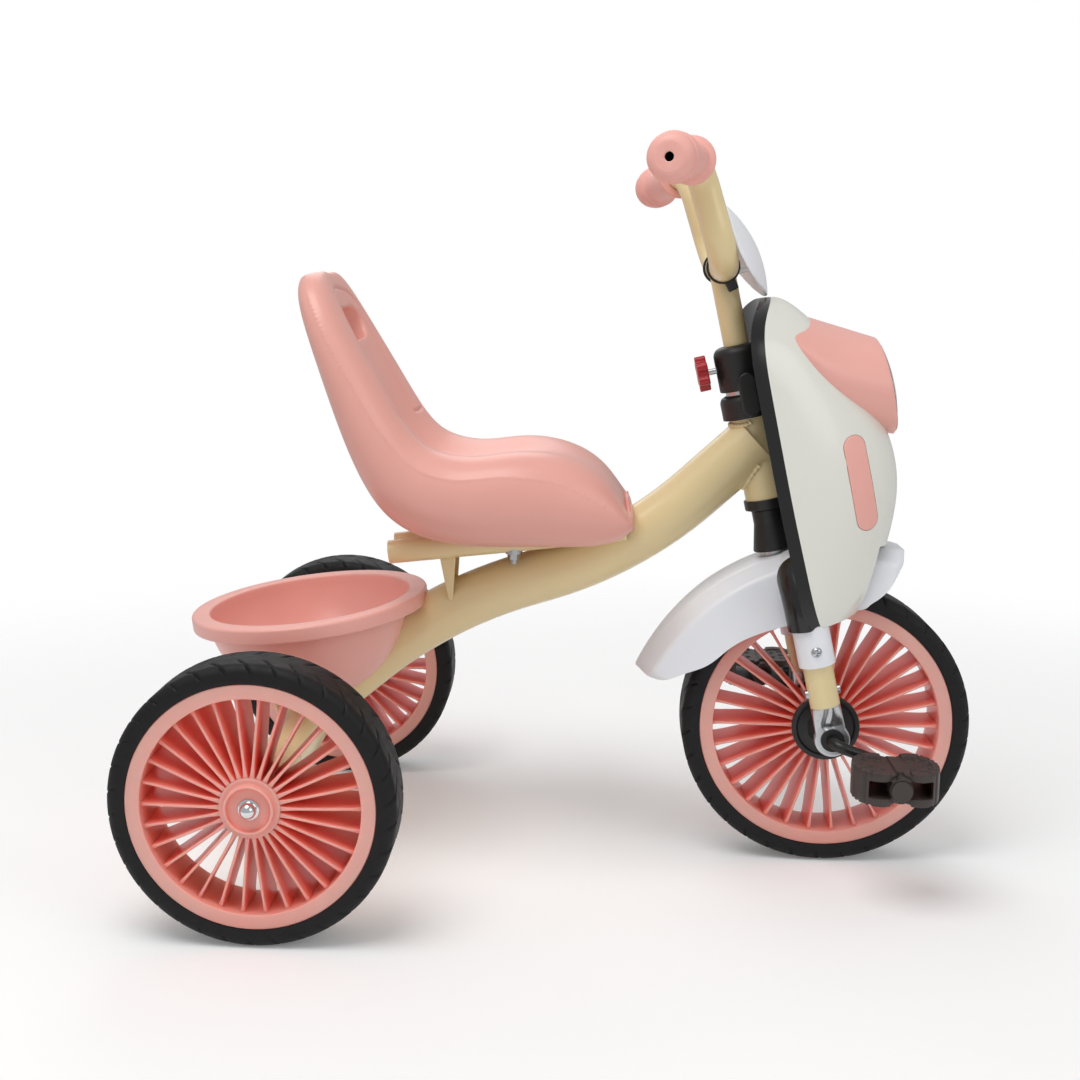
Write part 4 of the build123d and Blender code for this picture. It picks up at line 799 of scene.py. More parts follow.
class TRICYCLE_OT_basket(bpy.types.Operator):
    """Round basket with a turned-down lip, formed over the main tube"""
    bl_idname = "tricycle.basket"
    bl_label = "Basket"

    def execute(self, context):
        outline = basket_outline()
        rim = Vector((REAR_AXLE.x + BASKET_X, 0, BASKET_RIM_Z))
        place = Matrix.Translation(rim) @ Matrix.Rotation(-BASKET_TILT, 4, "Y")
        tree = nearest(main_tube_axis())
        rows = []
        for index in range(BASKET_STEPS):
            turn = 2 * pi * index / BASKET_STEPS
            row = []
            for r, z, side in outline:
                point = place @ Vector((r * cos(turn), BASKET_SPREAD * r * sin(turn), z))
                if side:
                    clear = TUBE_R + FIT_CLEAR + (BASKET_WALL if side < 0 else 0)
                    while tree.find(point)[2] < clear:
                        point.z += BASKET_LIFT
                row.append(point)
            rows.append(row)
        form = bmesh.new()
        skin(form, rows, wrap_rows=True)
        bmesh.ops.remove_doubles(form, verts=form.verts, dist=1e-6)
        level = place.inverted()
        under = [vert for vert in form.verts if (level @ vert.co).z < -BASKET_LIP]
        relax(form, [vert for vert in under if tree.find(vert.co)[2] < BASKET_HUMP], BASKET_PASSES)
        add_piece("basket_bowl", form, "frame", pink_plastic(), ("basket",), 60)
        return {"FINISHED"}


FENDER_CENTRE = (18, -44)        # ahead of and above the front axle
FENDER_R = 207
FENDER_TOP_HALF = 24
FENDER_SHOULDER = (196, 41)
FENDER_SKIRT = (147, 46)
FENDER_SHEET = 2.4
# Lower edge from beak to tail: degrees round the arch's centre and radius in millimetres
FENDER_EDGE = (
    (77.4, 204), (77.7, 194), (80.6, 172.3), (84.6, 160), (89.3, 153), (108.8, 149.3),
    (128.5, 157), (139.8, 160), (147, 172), (151.8, 184), (153.2, 196), (153.5, 204),
)
FENDER_FACET = (126, 150)        # degrees over which the top narrows to the tail
FENDER_FACET_HALF = 7
FENDER_CREASE = 7                # rounding of the creases
FENDER_HEM = 10                  # sheet below the skirt's line, trimmed by the lower edge
FENDER_TIP = (3.0, 0.25)         # degrees over which an end narrows, and by what share
FORK_LEG_V = 66
FORK_CROWN = 146
FORK_BEND = 36
SLEEVE_R = 15.6
SLEEVE_END = 68


def fender_section(edge_r, inset, taper, top_half):
    """Points of the section from the left edge over the top to the right edge, in millimetres."""
    top = FENDER_R - inset
    half = [(top, 0.0)]
    corners = [(top, top_half), (FENDER_SHOULDER[0] - inset, FENDER_SHOULDER[1] - inset)]
    skirt_r = FENDER_SKIRT[0] - FENDER_HEM
    skirt_v = FENDER_SKIRT[1] - inset + 1
    outline = rounded([(top, -top_half), corners[0], corners[1], (skirt_r, skirt_v)], FENDER_CREASE, 5)
    half += [(top, top_half * t) for t in (0.25, 0.5)] + outline[6:18]
    low = half[-1]
    for step in range(1, 15):
        t = step / 14
        half.append((low[0] + (skirt_r - low[0]) * t, low[1] + (skirt_v - low[1]) * t))
    trimmed = []
    for r, v in half:
        if r < edge_r and trimmed:
            before = trimmed[-1]
            share = (before[0] - edge_r) / max(before[0] - r, 1e-6) if before[0] > edge_r else 0.0
            r, v = max(r, edge_r), before[1] + (v - before[1]) * share
        trimmed.append((r, v * taper))
    return [(r, -v) for r, v in reversed(trimmed[1:])] + trimmed


class TRICYCLE_OT_fender(bpy.types.Operator):
    """Creased fender over the front wheel, with sleeves down the fork legs"""
    bl_idname = "tricycle.fender"
    bl_label = "Fender"

    def execute(self, context):
        edge = smooth_line(FENDER_EDGE, 14)
        outer, inner = [], []
        arch = FRONT_AXLE + Vector((FENDER_CENTRE[0], 0, FENDER_CENTRE[1])) * MM
        for angle, edge_r in edge:
            end = min(angle - FENDER_EDGE[0][0], FENDER_EDGE[-1][0] - angle)
            taper = 1 - FENDER_TIP[1] * max(0.0, 1 - end / FENDER_TIP[0]) ** 2
            turn = radians(angle)
            narrow = min(max((angle - FENDER_FACET[0]) / (FENDER_FACET[1] - FENDER_FACET[0]), 0), 1)
            top_half = FENDER_TOP_HALF + (FENDER_FACET_HALF - FENDER_TOP_HALF) * narrow
            for rows, inset in ((outer, 0), (inner, FENDER_SHEET)):
                section = fender_section(edge_r, inset, taper, top_half)
                rows.append([arch + Vector((r * cos(turn), v, r * sin(turn))) * MM for r, v in section])
        rows = [out + back[::-1] for out, back in zip(outer, inner)]
        form = bmesh.new()
        skin(form, rows, wrap_columns=True, caps=True)
        bmesh.ops.remove_doubles(form, verts=form.verts, dist=1e-6)
        add_piece("fender", form, "steering", white_plastic(), ("front_fender",), 50)
        corners = [
            (0, -FORK_LEG_V, SLEEVE_END), (0, -FORK_LEG_V, FORK_CROWN), (0, FORK_LEG_V, FORK_CROWN),
            (0, FORK_LEG_V, SLEEVE_END),
        ]
        path = bent([leaning(*corner) for corner in corners], [FORK_BEND * MM] * 2, 14)
        form = bmesh.new()
        skin(form, tube_rows(path, SLEEVE_R * MM, 48), wrap_columns=True, caps=True)
        add_piece("fender_sleeves", form, "steering", white_plastic(), ("front_fender",))
        return {"FINISHED"}


STEER_OFFSET = 10                # steering axis behind the axle

# Grips along their own axis from the inner flange, in millimetres
GRIP_BORE_R = 12.6
GRIP_OUTLINE = (
    (GRIP_BORE_R, 0), (19.5, 0), (19.5, 5), (15.2, 6.6), (14.6, 12), (14.6, 66), (15.4, 70.5), (18.6, 73.5),
)
GRIP_RING_AT = (76.5, 81.5, 86.5)
GRIP_RING_HALF = 1.9
GRIP_RING_DEPTH = 1.8
GRIP_BULB_R = 19.5
GRIP_LENGTH = 104
GRIP_HOLE_R = 3.6
GRIP_HOLE_DEPTH = 4
GRIP_END_R = 9.5                 # flat of the end
GRIP_END_BEND = (9.1, 10)        # rounding of the end, across and along the grip
GRIP_TOP = (-17, 58, 501)        # top corner of a handlebar arm in the leaning frame
GRIP_SWEEP = radians(13)
GRIP_FROM = 26.7                 # flange out from that corner


def grip_outline():
    points = list(GRIP_OUTLINE)
    for middle in GRIP_RING_AT:
        points += [
            (GRIP_BULB_R - GRIP_RING_DEPTH, middle - GRIP_RING_HALF - 0.5),
            (GRIP_BULB_R, middle - GRIP_RING_HALF + 0.3),
            (GRIP_BULB_R, middle + GRIP_RING_HALF - 0.3),
            (GRIP_BULB_R - GRIP_RING_DEPTH, middle + GRIP_RING_HALF + 0.5),
        ]
    for step in range(1, 8):
        turn = radians(90 * step / 8)
        r = GRIP_END_R + GRIP_END_BEND[0] * cos(turn)
        points.append((r, GRIP_LENGTH - GRIP_END_BEND[1] * (1 - sin(turn))))
    floor = GRIP_LENGTH - GRIP_HOLE_DEPTH
    points += [(GRIP_HOLE_R, GRIP_LENGTH), (GRIP_HOLE_R, floor), (GRIP_BORE_R, floor)]
    return rounded([(r * MM, along * MM) for r, along in points], 0.8 * MM, 3)


class TRICYCLE_OT_grips(bpy.types.Operator):
    """Soft grips with a flange and a ringed end"""
    bl_idname = "tricycle.grips"
    bl_label = "Grips"

    def execute(self, context):
        for side, sign in SIDES.items():
            out = Vector((-sin(GRIP_SWEEP), sign * cos(GRIP_SWEEP), 0))
            start = Vector((GRIP_TOP[0], sign * GRIP_TOP[1], GRIP_TOP[2])) + out * GRIP_FROM
            axis = leaning(*(start + out)) - leaning(*start)
            form = bmesh.new()
            turn_solid(form, grip_outline(), facing(leaning(*start), axis), 80)
            name = "grip_" + side
            add_piece("soft_" + name, form, "handlebar", grip_plastic(), (name,))
        return {"FINISHED"}


# Screw heads: depth of the foot, and the cross recess's arms and floor as shares of its size and height
HEAD_SUNK = 0.6 * MM
CROSS_ARM = 0.22
CROSS_FLOOR = 0.35


def dome(radius, height, steps=8):
    """Outline of a dome from its foot to its pole."""
    turns = [pi / 2 * step / steps for step in range(steps + 1)]
    return [(radius * cos(turn), height * sin(turn)) for turn in turns]


def pan_head(form, place, radius, height, cross):
    """Adds a domed screw head on a frame's XY plane, with a cross recess."""
    rings = 14
    count = 64
    rows = []
    for index in range(count):
        turn = 2 * pi * index / count
        row = [(radius, -HEAD_SUNK)]
        for ring in range(rings + 1):
            r = radius * (1 - ring / rings)
            x, y = abs(r * cos(turn)), abs(r * sin(turn))
            slot = min(x, y) < cross * CROSS_ARM and max(x, y) < cross
            up = height * (1 - (r / radius) ** 4) * (1 - 0.1 * (r / radius) ** 2)
            row.append((r, up * CROSS_FLOOR if slot else up))
        rows.append([place @ Vector((r * cos(turn), r * sin(turn), up)) for r, up in row])
    skin(form, rows, wrap_rows=True)
    bmesh.ops.remove_doubles(form, verts=form.verts, dist=1e-7)
    edges = [edge for edge in form.edges if edge.is_boundary]
    bmesh.ops.holes_fill(form, edges=edges)


# Front hub cover: radius and place out from its inner face, in millimetres
HUB_COVER_FROM = 26              # inner face from the wheel's mid plane
HUB_COVER_OUTLINE = (
    (5, 0), (29.5, 0), (29.5, 5.4), (25.5, 5.4), (24.5, 3.2), (16, 3.2), (14.5, 5.2), (11, 9.5),
    (11, 35.2), (5, 35.2),
)
NUT_BORE_R = 5 * MM
NUT_FOOT = 3 * MM                # cap nut below its dome
NUT_FLANGE = 1.6 * MM
NUT_FLANGE_T = 0.7 * MM
NUT_FLANGE_TOP = 1.2 * MM


class TRICYCLE_OT_hubs(bpy.types.Operator):
    """Front hub covers and the rear axle's domed cap nuts"""
    bl_idname = "tricycle.hubs"
    bl_label = "Hub fittings"

    def execute(self, context):
        form = bmesh.new()
        outline = rounded([(r * MM, (HUB_COVER_FROM + y) * MM) for r, y in HUB_COVER_OUTLINE], 0.9 * MM)
        for sign in SIDES.values():
            place = facing(FRONT_AXLE, (0, sign, 0))
            turn_solid(form, outline, place, 72)
        add_piece("hub_covers", form, "front_wheel", black_plastic(), ("hub_discs",))
        form = bmesh.new()
        low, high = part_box("axle_cap_nuts")
        radius = (high[2] - low[2]) / 2
        floor = high[1] - radius - NUT_FOOT
        for sign in SIDES.values():
            place = facing(REAR_AXLE + Vector((0, sign * floor, 0)), (0, sign, 0))
            flange = radius + NUT_FLANGE
            outline = [(NUT_BORE_R, 0), (flange, 0), (flange, NUT_FLANGE_T), (radius, NUT_FLANGE_TOP)]
            outline += [(r, up + NUT_FOOT) for r, up in dome(radius, radius)]
            turn_solid(form, outline, place, 64, closed=False)
        add_piece("dome_nuts", form, "frame", chrome_plate(), ("axle_cap_nuts",))
        return {"FINISHED"}


# Pedal's tread: lobe centres from the pin, lobe half sizes, rim, slits, dimples and rib, in millimetres
PEDAL_LOBE_AT = 15.5
PEDAL_LOBE = (19.5, 31)
PEDAL_RIM = 6.0
PEDAL_RIM_FROM = 8               # the rim ends this far from the pin
PEDAL_RIM_HEIGHT = 1.6
PEDAL_SLITS = (-62, -31, 0, 31, 62)
PEDAL_SLIT_R = 25                # turns a slit's angle into a distance
PEDAL_SLIT_HALF = 1.5
PEDAL_SLIT_DEPTH = 0.6
PEDAL_DIMPLES = ((12, 9), (12, -9), (20, 14), (20, 0), (20, -14), (27, 7), (27, -7))
PEDAL_DIMPLE_R = 2.0
PEDAL_DIMPLE_DEPTH = 1.2
PEDAL_RIB_HALF = 3
PEDAL_RIB_HEIGHT = 1.4
PEDAL_SKIN = (0.7 * MM, 2)       # fineness and rounding passes
PEDAL_FACE_UP = 0.75             # least upright share of a normal on the tread
PEDAL_FACE_FROM = 9 * MM         # least distance of the tread from the pedal's middle


def tread_height(x, y):
    """Relief of a pedal's tread at a place fore and aft and along the pin, in millimetres."""
    x = abs(x)
    out = hypot((x - PEDAL_LOBE_AT) / PEDAL_LOBE[0], y / PEDAL_LOBE[1])
    from_edge = (1 - out) * min(PEDAL_LOBE)
    height = 0.0
    if from_edge < PEDAL_RIM and x > PEDAL_RIM_FROM:
        turn = atan2(y / PEDAL_LOBE[1], (x - PEDAL_LOBE_AT) / PEDAL_LOBE[0])
        gap = min(abs(turn - radians(slit)) for slit in PEDAL_SLITS) * PEDAL_SLIT_R
        height = PEDAL_RIM_HEIGHT if gap > PEDAL_SLIT_HALF else -PEDAL_SLIT_DEPTH
    for at_x, at_y in PEDAL_DIMPLES:
        if hypot(x - at_x, y - at_y) < PEDAL_DIMPLE_R:
            height -= PEDAL_DIMPLE_DEPTH
    if x < PEDAL_RIB_HALF:
        height += PEDAL_RIB_HEIGHT
    return height


class TRICYCLE_OT_pedals(bpy.types.Operator):
    """Two-lobed pedals with a raised, slit rim and dimples"""
    bl_idname = "tricycle.pedals"
    bl_label = "Pedals"

    def execute(self, context):
        for side, sign in SIDES.items():
            node = "pedal_" + side
            low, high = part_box(node)
            middle = (Vector(low) + Vector(high)) / 2
            form = softened(node, *PEDAL_SKIN)
            for vert in form.verts:
                away = vert.co - middle
                if abs(vert.normal.z) > PEDAL_FACE_UP and abs(away.z) > PEDAL_FACE_FROM:
                    vert.co.z += copysign(tread_height(away.x / MM, away.y / MM) * MM, away.z)
            add_piece("tread_" + node, form, node, pedal_plastic(), (node,), 35)
        return {"FINISHED"}


# Node, body, finish, slot, fineness in millimetres and rounding passes
SOFT_NODES = (
    ("fork_end_right", "steering", zinc_plate, "zinc_steel", 0.7, 3),
    ("fork_end_left", "steering", zinc_plate, "zinc_steel", 0.7, 3),
    ("head_cup_lower", "frame", black_plastic, "black_plastic", 0.7, 3),
    ("head_cup_upper", "frame", black_plastic, "black_plastic", 0.7, 4),
    ("stem_sleeve", "steering", black_plastic, "black_plastic", 0.7, 4),
    ("crown_cover", "steering", black_plastic, "black_plastic", 0.7, 4),
    ("cowl_clips", "steering", black_plastic, "black_plastic", 0.7, 4),
    ("clamp_knob", "clamp", red_plastic, "red_plastic", 0.5, 4),
    ("rail_gusset", "frame", cream_paint, "cream_paint", 0.6, 3),
    ("visor", "handlebar", white_plastic, "white_plastic", 0.7, 3),
    ("side_accent_right", "steering", pink_plastic, "pink_plastic", 0.6, 5),
    ("side_accent_left", "steering", pink_plastic, "pink_plastic", 0.6, 5),
    ("pedal_cap_right", "pedal_right", pedal_plastic, "black_plastic", 0.4, 4),
    ("pedal_cap_left", "pedal_left", pedal_plastic, "black_plastic", 0.4, 4),
)
# Hollow pressed down each fork end: ahead of the axle and along the leg, in millimetres
FORK_END_HOLLOW = ((2, 34), (0, 25), (-3, 16), (-1, 11))
FORK_END_HOLLOW_HALF = 4.5 * MM
FORK_END_HOLLOW_DEPTH = 1.6 * MM


class TRICYCLE_OT_soft(bpy.types.Operator):
    """Small moulded and pressed pieces with rounded edges"""
    bl_idname = "tricycle.soft"
    bl_label = "Rounded pieces"

    def execute(self, context):
        for node, body, make, slot, voxel, passes in SOFT_NODES:
            form = softened(node, voxel * MM, passes)
            if node.startswith("fork_end"):
                hollow = [leaning(ahead, 0, along) for ahead, along in FORK_END_HOLLOW]
                line = smooth_line([(point.x, point.z) for point in hollow])
                press(
                    form, nearest(line), lambda co: (co.x, co.z, 0), lambda vert: abs(vert.normal.y) > 0.5,
                    FORK_END_HOLLOW_HALF, FORK_END_HOLLOW_DEPTH,
                )
            add_piece("soft_" + node, form, body, make(), (node,), 50)
        return {"FINISHED"}


# Cable ties round the handlebar's low bar, in millimetres
TIE_AT = (21, 413)               # from the mid plane and along the steering axis
TIE_BAR_R = 12.5
TIE_BAND = (1.8, 5.2)            # thickness and width
TIE_HEAD = (8.5, 9.0, 9.0)       # across, round the bar and outward
TIE_HEAD_TURN = radians(-76)     # round the bar from straight ahead
TIE_HEAD_LEVELS = ((0, 1), (0.84, 1), (0.95, 0.95), (1, 0.86))  # shares of its height and width


class TRICYCLE_OT_ties(bpy.types.Operator):
    """Cable ties that hold the visor to the handlebar"""
    bl_idname = "tricycle.ties"
    bl_label = "Cable ties"

    def execute(self, context):
        thick, wide = TIE_BAND
        outside = TIE_BAR_R + thick
        corners = [(TIE_BAR_R, -wide / 2), (outside, -wide / 2), (outside, wide / 2), (TIE_BAR_R, wide / 2)]
        band = rounded([(r * MM, along * MM) for r, along in corners], 0.5 * MM)
        across, along, out = (size / 2 for size in TIE_HEAD)
        ring = rounded([(-across, -along), (across, -along), (across, along), (-across, along)], 1.4, 4)
        form = bmesh.new()
        for sign in SIDES.values():
            centre = leaning(-STEER_OFFSET, sign * TIE_AT[0], TIE_AT[1])
            turn_solid(form, band, facing(centre, (0, 1, 0)), 72)
            outward = STEER_AHEAD * cos(TIE_HEAD_TURN) + STEER_AXIS * sin(TIE_HEAD_TURN)
            tangent = outward.cross(Vector((0, 1, 0)))
            rows = []
            for share, size in TIE_HEAD_LEVELS:
                level = centre + outward * (TIE_BAR_R + 2 * out * share) * MM
                rows.append([level + (Vector((0, y, 0)) + tangent * x) * size * MM for y, x in ring])
            skin(form, rows, wrap_columns=True, caps=True)
        add_piece("cable_ties", form, "handlebar", black_plastic(), ("visor_ties",))
        return {"FINISHED"}


# Lamp surround: oval sections that widen and rise back into the cowl, in millimetres
LAMP_AT = 283
LAMP_FRONT = 106
LAMP_ROOT = 28
LAMP_HALF_W = 50
LAMP_HALF_H = 42.5
LAMP_RISE = 0.5
LAMP_FLARE_W = 0.4
LAMP_FLARE_H = 0.07
LAMP_WALL = 2.5
LAMP_EDGE = 0.8
LAMP_TIP = 46                    # length of the back that tapers up to a rounded tip
LAMP_TIP_SHARE = 0.4             # share of the height lost at the tip
LAMP_TIP_SINK = 10               # how far the tip's sides sink into the cowl
LAMP_STEPS = 120
LAMP_ROWS = 40
LENS_RIM_R = 0.9 * MM
LENS_RIM_PASSES = 12             # evens out the steps of the lens's edge


def lamp_ring(ahead, inset):
    """Oval section of the lamp surround, set in from its outside."""
    back = LAMP_FRONT - ahead
    rest = max(1 - (ahead - LAMP_ROOT) / LAMP_TIP, 0)
    half_w = LAMP_HALF_W + back * LAMP_FLARE_W - inset - LAMP_TIP_SINK * rest ** 3
    half_h = LAMP_HALF_H + back * LAMP_FLARE_H - inset
    lift = half_h * LAMP_TIP_SHARE * rest ** 2
    ring = []
    for step in range(LAMP_STEPS):
        turn = 2 * pi * step / LAMP_STEPS
        along = LAMP_AT + back * LAMP_RISE + half_h * sin(turn) + lift * (1 - sin(turn))
        ring.append(leaning(ahead, half_w * cos(turn), along))
    return ring


class TRICYCLE_OT_lamp(bpy.types.Operator):
    """Lamp surround and the amber gasket line round its lens"""
    bl_idname = "tricycle.lamp"
    bl_label = "Lamp"

    def execute(self, context):
        self.add_surround()
        self.add_gasket()
        return {"FINISHED"}

    def add_surround(self):
        edge = LAMP_FRONT - LAMP_EDGE
        places = [LAMP_ROOT + (edge - LAMP_ROOT) * step / LAMP_ROWS for step in range(LAMP_ROWS + 1)]
        outline = [(place, 0) for place in places]
        bevel = LAMP_EDGE * 0.3
        outline += [(LAMP_FRONT - bevel, bevel), (LAMP_FRONT, LAMP_EDGE), (LAMP_FRONT, LAMP_WALL)]
        outline += [(place, LAMP_WALL) for place in reversed(places)]
        form = bmesh.new()
        skin(form, [lamp_ring(place, inset) for place, inset in outline], wrap_rows=True, wrap_columns=True)
        add_piece("surround", form, "steering", pink_plastic(), ("lamp_surround",))

    def add_gasket(self):
        lens = NODES["lamp_lens"]
        points = [lens.matrix_world @ vert.co for vert in lens.data.vertices]
        middle = sum(points, Vector()) / len(points)
        farthest = {}
        for point in points:
            away = point - middle
            across = Vector((away.y, away.dot(STEER_AXIS)))
            step = round(atan2(across.y, across.x) / (2 * pi) * LAMP_STEPS) % LAMP_STEPS
            if step not in farthest or across.length > farthest[step][0]:
                farthest[step] = (across.length, point)
        path = [farthest[step][1] for step in sorted(farthest)]
        for _ in range(LENS_RIM_PASSES):
            path = [(path[i - 1] + path[i] * 2 + path[(i + 1) % len(path)]) / 4 for i in range(len(path))]
        form = bmesh.new()
        skin(form, tube_rows(path, LENS_RIM_R, 10), wrap_rows=True, wrap_columns=True)
        add_piece("lens_gasket", form, "steering", amber_plastic())


HEAD_TUBE_R = 18
MAIN_TUBE_MEETS = 260            # main tube's axis on the steering axis
AXLE_TUBE_R = 21 * MM
WELD_R = 2.3 * MM
AXLE_WELD_R = 2.2 * MM
WELD_RIPPLE = 5                  # rows of points to a ripple
WELD_SWELL = 0.16                # share by which a ripple is thicker
WELD_REACH = 45                  # a weld lies within this of the meeting point, along the steering axis
WELD_HALF_TURN = radians(84)     # of the head tube, each way from its back
WELD_STEPS = 72
AXLE_WELD_SEARCH = (-20 * MM, 60 * MM)  # from and to, along the main tube


def bead_rows(path, radius, ripple):
    """Rows of a weld bead along a path: a round run with regular ripples."""
    swell = [radius * (1 + WELD_SWELL * cos(2 * pi * index / ripple)) for index in range(len(path))]
    return tube_rows(path, swell, 10)


def meeting_line(axis_point, along, clear, lines, low, high):
    """Points of a family of lines that lie at a distance from an axis, found by halving."""
    points = []
    for line in lines:
        a, b = low, high
        for _ in range(30):
            middle = (a + b) / 2
            away = line(middle) - axis_point
            if (away - along * away.dot(along)).length < clear:
                a = middle
            else:
                b = middle
        points.append(line((a + b) / 2))
    return points


class TRICYCLE_OT_welds(bpy.types.Operator):
    """Weld beads where the main tube meets the head tube and the rear axle tube"""
    bl_idname = "tricycle.welds"
    bl_label = "Welds"

    def execute(self, context):
        axis = main_tube_axis()
        meets = leaning(-STEER_OFFSET, 0, MAIN_TUBE_MEETS)
        along = (axis[-1] - axis[-2]).normalized()
        form = bmesh.new()
        for far in (MAIN_TUBE_MEETS + WELD_REACH, MAIN_TUBE_MEETS - WELD_REACH):
            lines = []
            for step in range(WELD_STEPS + 1):
                turn = WELD_HALF_TURN * (2 * step / WELD_STEPS - 1)
                ahead = -STEER_OFFSET - HEAD_TUBE_R * cos(turn)
                left = HEAD_TUBE_R * sin(turn)
                lines.append(lambda s, ahead=ahead, left=left: leaning(ahead, left, s))
            path = meeting_line(meets, along, TUBE_R, lines, MAIN_TUBE_MEETS, far)
            skin(form, bead_rows(path, WELD_R, WELD_RIPPLE), wrap_columns=True, caps=True)
        start = axis[0]
        along = (axis[1] - axis[0]).normalized()
        lines = []
        for step in range(2 * WELD_STEPS):
            turn = pi * step / WELD_STEPS
            across = Vector((0, sin(turn), 0)) + along.cross(Vector((0, 1, 0))) * cos(turn)
            lines.append(lambda s, across=across: start + across * TUBE_R + along * s)
        path = meeting_line(REAR_AXLE, Vector((0, 1, 0)), AXLE_TUBE_R, lines, *AXLE_WELD_SEARCH)
        skin(form, bead_rows(path, AXLE_WELD_R, WELD_RIPPLE), wrap_rows=True, wrap_columns=True)
        add_piece("weld_beads", form, "frame", cream_paint())
        return {"FINISHED"}


SLEEVE_SCREW_AT = 82             # up the fork leg
SLEEVE_SCREW_SUNK = 0.5
SLEEVE_SCREW_HEAD = (4.6 * MM, 2.6 * MM, 2.7 * MM)  # radius, height and half of the cross


class TRICYCLE_OT_screws(bpy.types.Operator):
    """Cross-recess screws on the fender sleeves"""
    bl_idname = "tricycle.screws"
    bl_label = "Screws"

    def execute(self, context):
        form = bmesh.new()
        for sign in SIDES.values():
            out = FORK_LEG_V + SLEEVE_R - SLEEVE_SCREW_SUNK
            place = facing(leaning(0, sign * out, SLEEVE_SCREW_AT), (0, sign, 0))
            pan_head(form, place, *SLEEVE_SCREW_HEAD)
        add_piece("sleeve_screws", form, "steering", zinc_plate(), ("fender_screws",))
        return {"FINISHED"}


WHITE = (1, 1, 1, 1)
FLOOR_R = 4.0
FLOOR_DROP = 0.0005              # floor below the tyres
FLOOR_FADE = (0.55, 1.5)         # from and to where the floor fades into the background
# Lights: place, point lit and width, in metres
KEY_LIGHT = ((-0.55, -0.85, 2.3), (0.0, 0.0, 0.2), 1.5)
FILL_LIGHT = ((1.7, -1.5, 1.3), (0.1, 0.0, 0.3), 1.4)
BACK_LIGHT = ((-0.4, 1.8, 1.7), (0.0, 0.0, 0.3), 1.4)
CAMERA_AT = Vector((0.0248, -1.3575, 0.5070))
CAMERA_YAW = -0.0980             # radians, right of straight across
CAMERA_PITCH = 0.1849            # downward
CAMERA_ROLL = 0.0076
CAMERA_SHIFT = (0.0849, 0.0348)  # the photograph's frame is off the lens axis


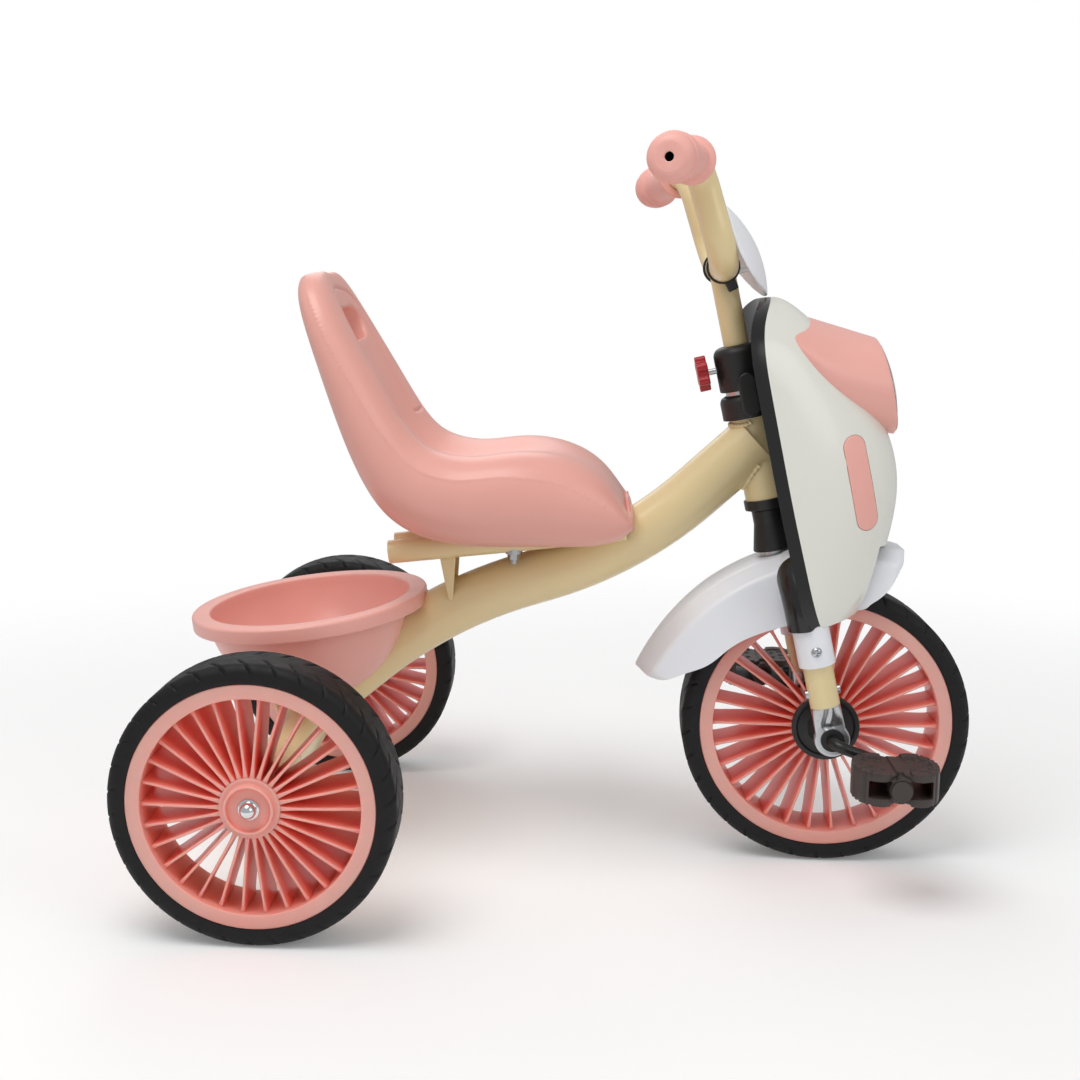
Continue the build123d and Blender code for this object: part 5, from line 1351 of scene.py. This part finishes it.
class TRICYCLE_OT_stage(bpy.types.Operator):
    """Pale floor, soft studio light and camera"""
    bl_idname = "tricycle.stage"
    bl_label = "Stage"

    def execute(self, context):
        sizes = settings("stage")
        scene = context.scene
        scene.view_settings.view_transform = "Standard"
        self.make_floor(scene, sizes)
        self.make_sky(scene, sizes)
        self.make_light(scene, "key_light", *KEY_LIGHT, sizes.key_watts)
        self.make_light(scene, "fill_light", *FILL_LIGHT, sizes.fill_watts)
        self.make_light(scene, "back_light", *BACK_LIGHT, sizes.fill_watts)
        self.make_camera(scene, sizes)
        return {"FINISHED"}

    def make_floor(self, scene, sizes):
        """Round floor that keeps the shadow and fades into the white background."""
        form = bmesh.new()
        bmesh.ops.create_circle(form, cap_ends=True, segments=96, radius=FLOOR_R)
        mesh = to_mesh("studio_floor", form)
        floor = bpy.data.objects.new("studio_floor", mesh)
        scene.collection.objects.link(floor)
        floor.location.z = -FLOOR_DROP
        material = bpy.data.materials.new("matt_studio_paper")
        material.use_nodes = True
        tree = material.node_tree
        tree.nodes.clear()
        place = add_node(tree, "ShaderNodeTexCoord").outputs["Object"]
        reach = add_node(tree, "ShaderNodeVectorMath", {0: place}, operation="LENGTH")
        fade = add_node(tree, "ShaderNodeMapRange", {
            "Value": reach.outputs["Value"], "From Min": FLOOR_FADE[0], "From Max": FLOOR_FADE[1],
        }, interpolation_type="SMOOTHSTEP")
        path = add_node(tree, "ShaderNodeLightPath").outputs
        seen = combine(tree, "MAXIMUM", path["Is Camera Ray"], path["Is Glossy Ray"])
        seen = combine(tree, "MAXIMUM", seen, path["Is Transmission Ray"])
        clear_share = combine(tree, "MULTIPLY", fade.outputs["Result"], seen)
        matt = add_node(tree, "ShaderNodeBsdfDiffuse", {"Color": linear(settings("finish").floor)})
        glow = combine(tree, "MULTIPLY", seen, sizes.lift)
        lift = add_node(tree, "ShaderNodeEmission", {"Color": WHITE, "Strength": glow})
        paper = add_node(tree, "ShaderNodeAddShader", {0: matt.outputs[0], 1: lift.outputs[0]})
        gone = add_node(tree, "ShaderNodeBsdfTransparent")
        mixed = add_node(tree, "ShaderNodeMixShader", {
            0: clear_share, 1: paper.outputs[0], 2: gone.outputs[0],
        })
        add_node(tree, "ShaderNodeOutputMaterial", {"Surface": mixed.outputs[0]})
        mesh.materials.append(material)

    def make_sky(self, scene, sizes):
        """Even light from all round, white where the background is seen."""
        world = bpy.data.worlds.new("studio_sky")
        scene.world = world
        world.use_nodes = True
        tree = world.node_tree
        tree.nodes.clear()
        path = add_node(tree, "ShaderNodeLightPath").outputs
        seen = combine(tree, "MAXIMUM", path["Is Camera Ray"], path["Is Transmission Ray"])
        strength = add_node(tree, "ShaderNodeMapRange", {"Value": seen, "To Min": sizes.sky, "To Max": 1.0})
        sky = add_node(tree, "ShaderNodeBackground", {"Color": WHITE, "Strength": strength.outputs["Result"]})
        add_node(tree, "ShaderNodeOutputWorld", {"Surface": sky.outputs[0]})

    def make_light(self, scene, name, place, target, size, watts):
        light = bpy.data.lights.new(name, "AREA")
        light.shape = "DISK"
        light.size = size
        light.energy = watts
        lamp = bpy.data.objects.new(name, light)
        lamp.location = place
        lamp.rotation_euler = (Vector(target) - Vector(place)).to_track_quat("-Z", "Y").to_euler()
        scene.collection.objects.link(lamp)

    def make_camera(self, scene, sizes):
        data = bpy.data.cameras.new("camera")
        data.sensor_width = 36
        data.lens = sizes.lens
        data.shift_x, data.shift_y = CAMERA_SHIFT
        data.clip_start = 0.05
        ahead = Vector((
            sin(CAMERA_YAW) * cos(CAMERA_PITCH), cos(CAMERA_YAW) * cos(CAMERA_PITCH), -sin(CAMERA_PITCH),
        ))
        right = Vector((cos(CAMERA_YAW), -sin(CAMERA_YAW), 0))
        down = ahead.cross(right)
        across = right * cos(CAMERA_ROLL) + down * sin(CAMERA_ROLL)
        down = down * cos(CAMERA_ROLL) - right * sin(CAMERA_ROLL)
        turn = Matrix((across, -down, -ahead)).transposed()
        camera = bpy.data.objects.new("camera", data)
        camera.matrix_world = Matrix.Translation(CAMERA_AT) @ turn.to_4x4()
        scene.collection.objects.link(camera)
        scene.camera = camera


class TRICYCLE_PT_panel(bpy.types.Panel):
    """Sidebar list of the tricycle's pieces"""
    bl_idname = "TRICYCLE_PT_panel"
    bl_label = "Tricycle"
    bl_space_type = "VIEW_3D"
    bl_region_type = "UI"
    bl_category = "Tricycle"

    def draw(self, context):
        for operator in OPERATORS:
            self.layout.operator(operator.bl_idname)
        for name in GROUPS:
            group = settings(name)
            for key in group.bl_rna.properties.keys():
                if key not in ("rna_type", "name"):
                    self.layout.prop(group, key)


GROUPS = {
    "finish": FinishSettings,
    "tyre": TyreSettings,
    "wheel": WheelSettings,
    "seat": SeatSettings,
    "stage": StageSettings,
}
OPERATORS = (
    TRICYCLE_OT_paint,
    TRICYCLE_OT_tyres,
    TRICYCLE_OT_wheels,
    TRICYCLE_OT_seat,
    TRICYCLE_OT_basket,
    TRICYCLE_OT_fender,
    TRICYCLE_OT_grips,
    TRICYCLE_OT_hubs,
    TRICYCLE_OT_pedals,
    TRICYCLE_OT_soft,
    TRICYCLE_OT_ties,
    TRICYCLE_OT_lamp,
    TRICYCLE_OT_welds,
    TRICYCLE_OT_screws,
    TRICYCLE_OT_stage,
)


def register():
    for group in GROUPS.values():
        bpy.utils.register_class(group)
    for name, group in GROUPS.items():
        setattr(bpy.types.Scene, "tricycle_" + name, PointerProperty(type=group))
    for operator in OPERATORS:
        bpy.utils.register_class(operator)
    bpy.utils.register_class(TRICYCLE_PT_panel)


def unregister():
    bpy.utils.unregister_class(TRICYCLE_PT_panel)
    for operator in reversed(OPERATORS):
        bpy.utils.unregister_class(operator)
    for name, group in GROUPS.items():
        delattr(bpy.types.Scene, "tricycle_" + name)
        bpy.utils.unregister_class(group)


def main():
    register()
    bpy.ops.tricycle.paint()
    bpy.ops.tricycle.tyres()
    bpy.ops.tricycle.wheels()
    bpy.ops.tricycle.seat()
    bpy.ops.tricycle.basket()
    bpy.ops.tricycle.fender()
    bpy.ops.tricycle.grips()
    bpy.ops.tricycle.hubs()
    bpy.ops.tricycle.pedals()
    bpy.ops.tricycle.soft()
    bpy.ops.tricycle.ties()
    bpy.ops.tricycle.lamp()
    bpy.ops.tricycle.welds()
    bpy.ops.tricycle.screws()
    bpy.ops.tricycle.stage()


if __name__ == "__main__":
    main()
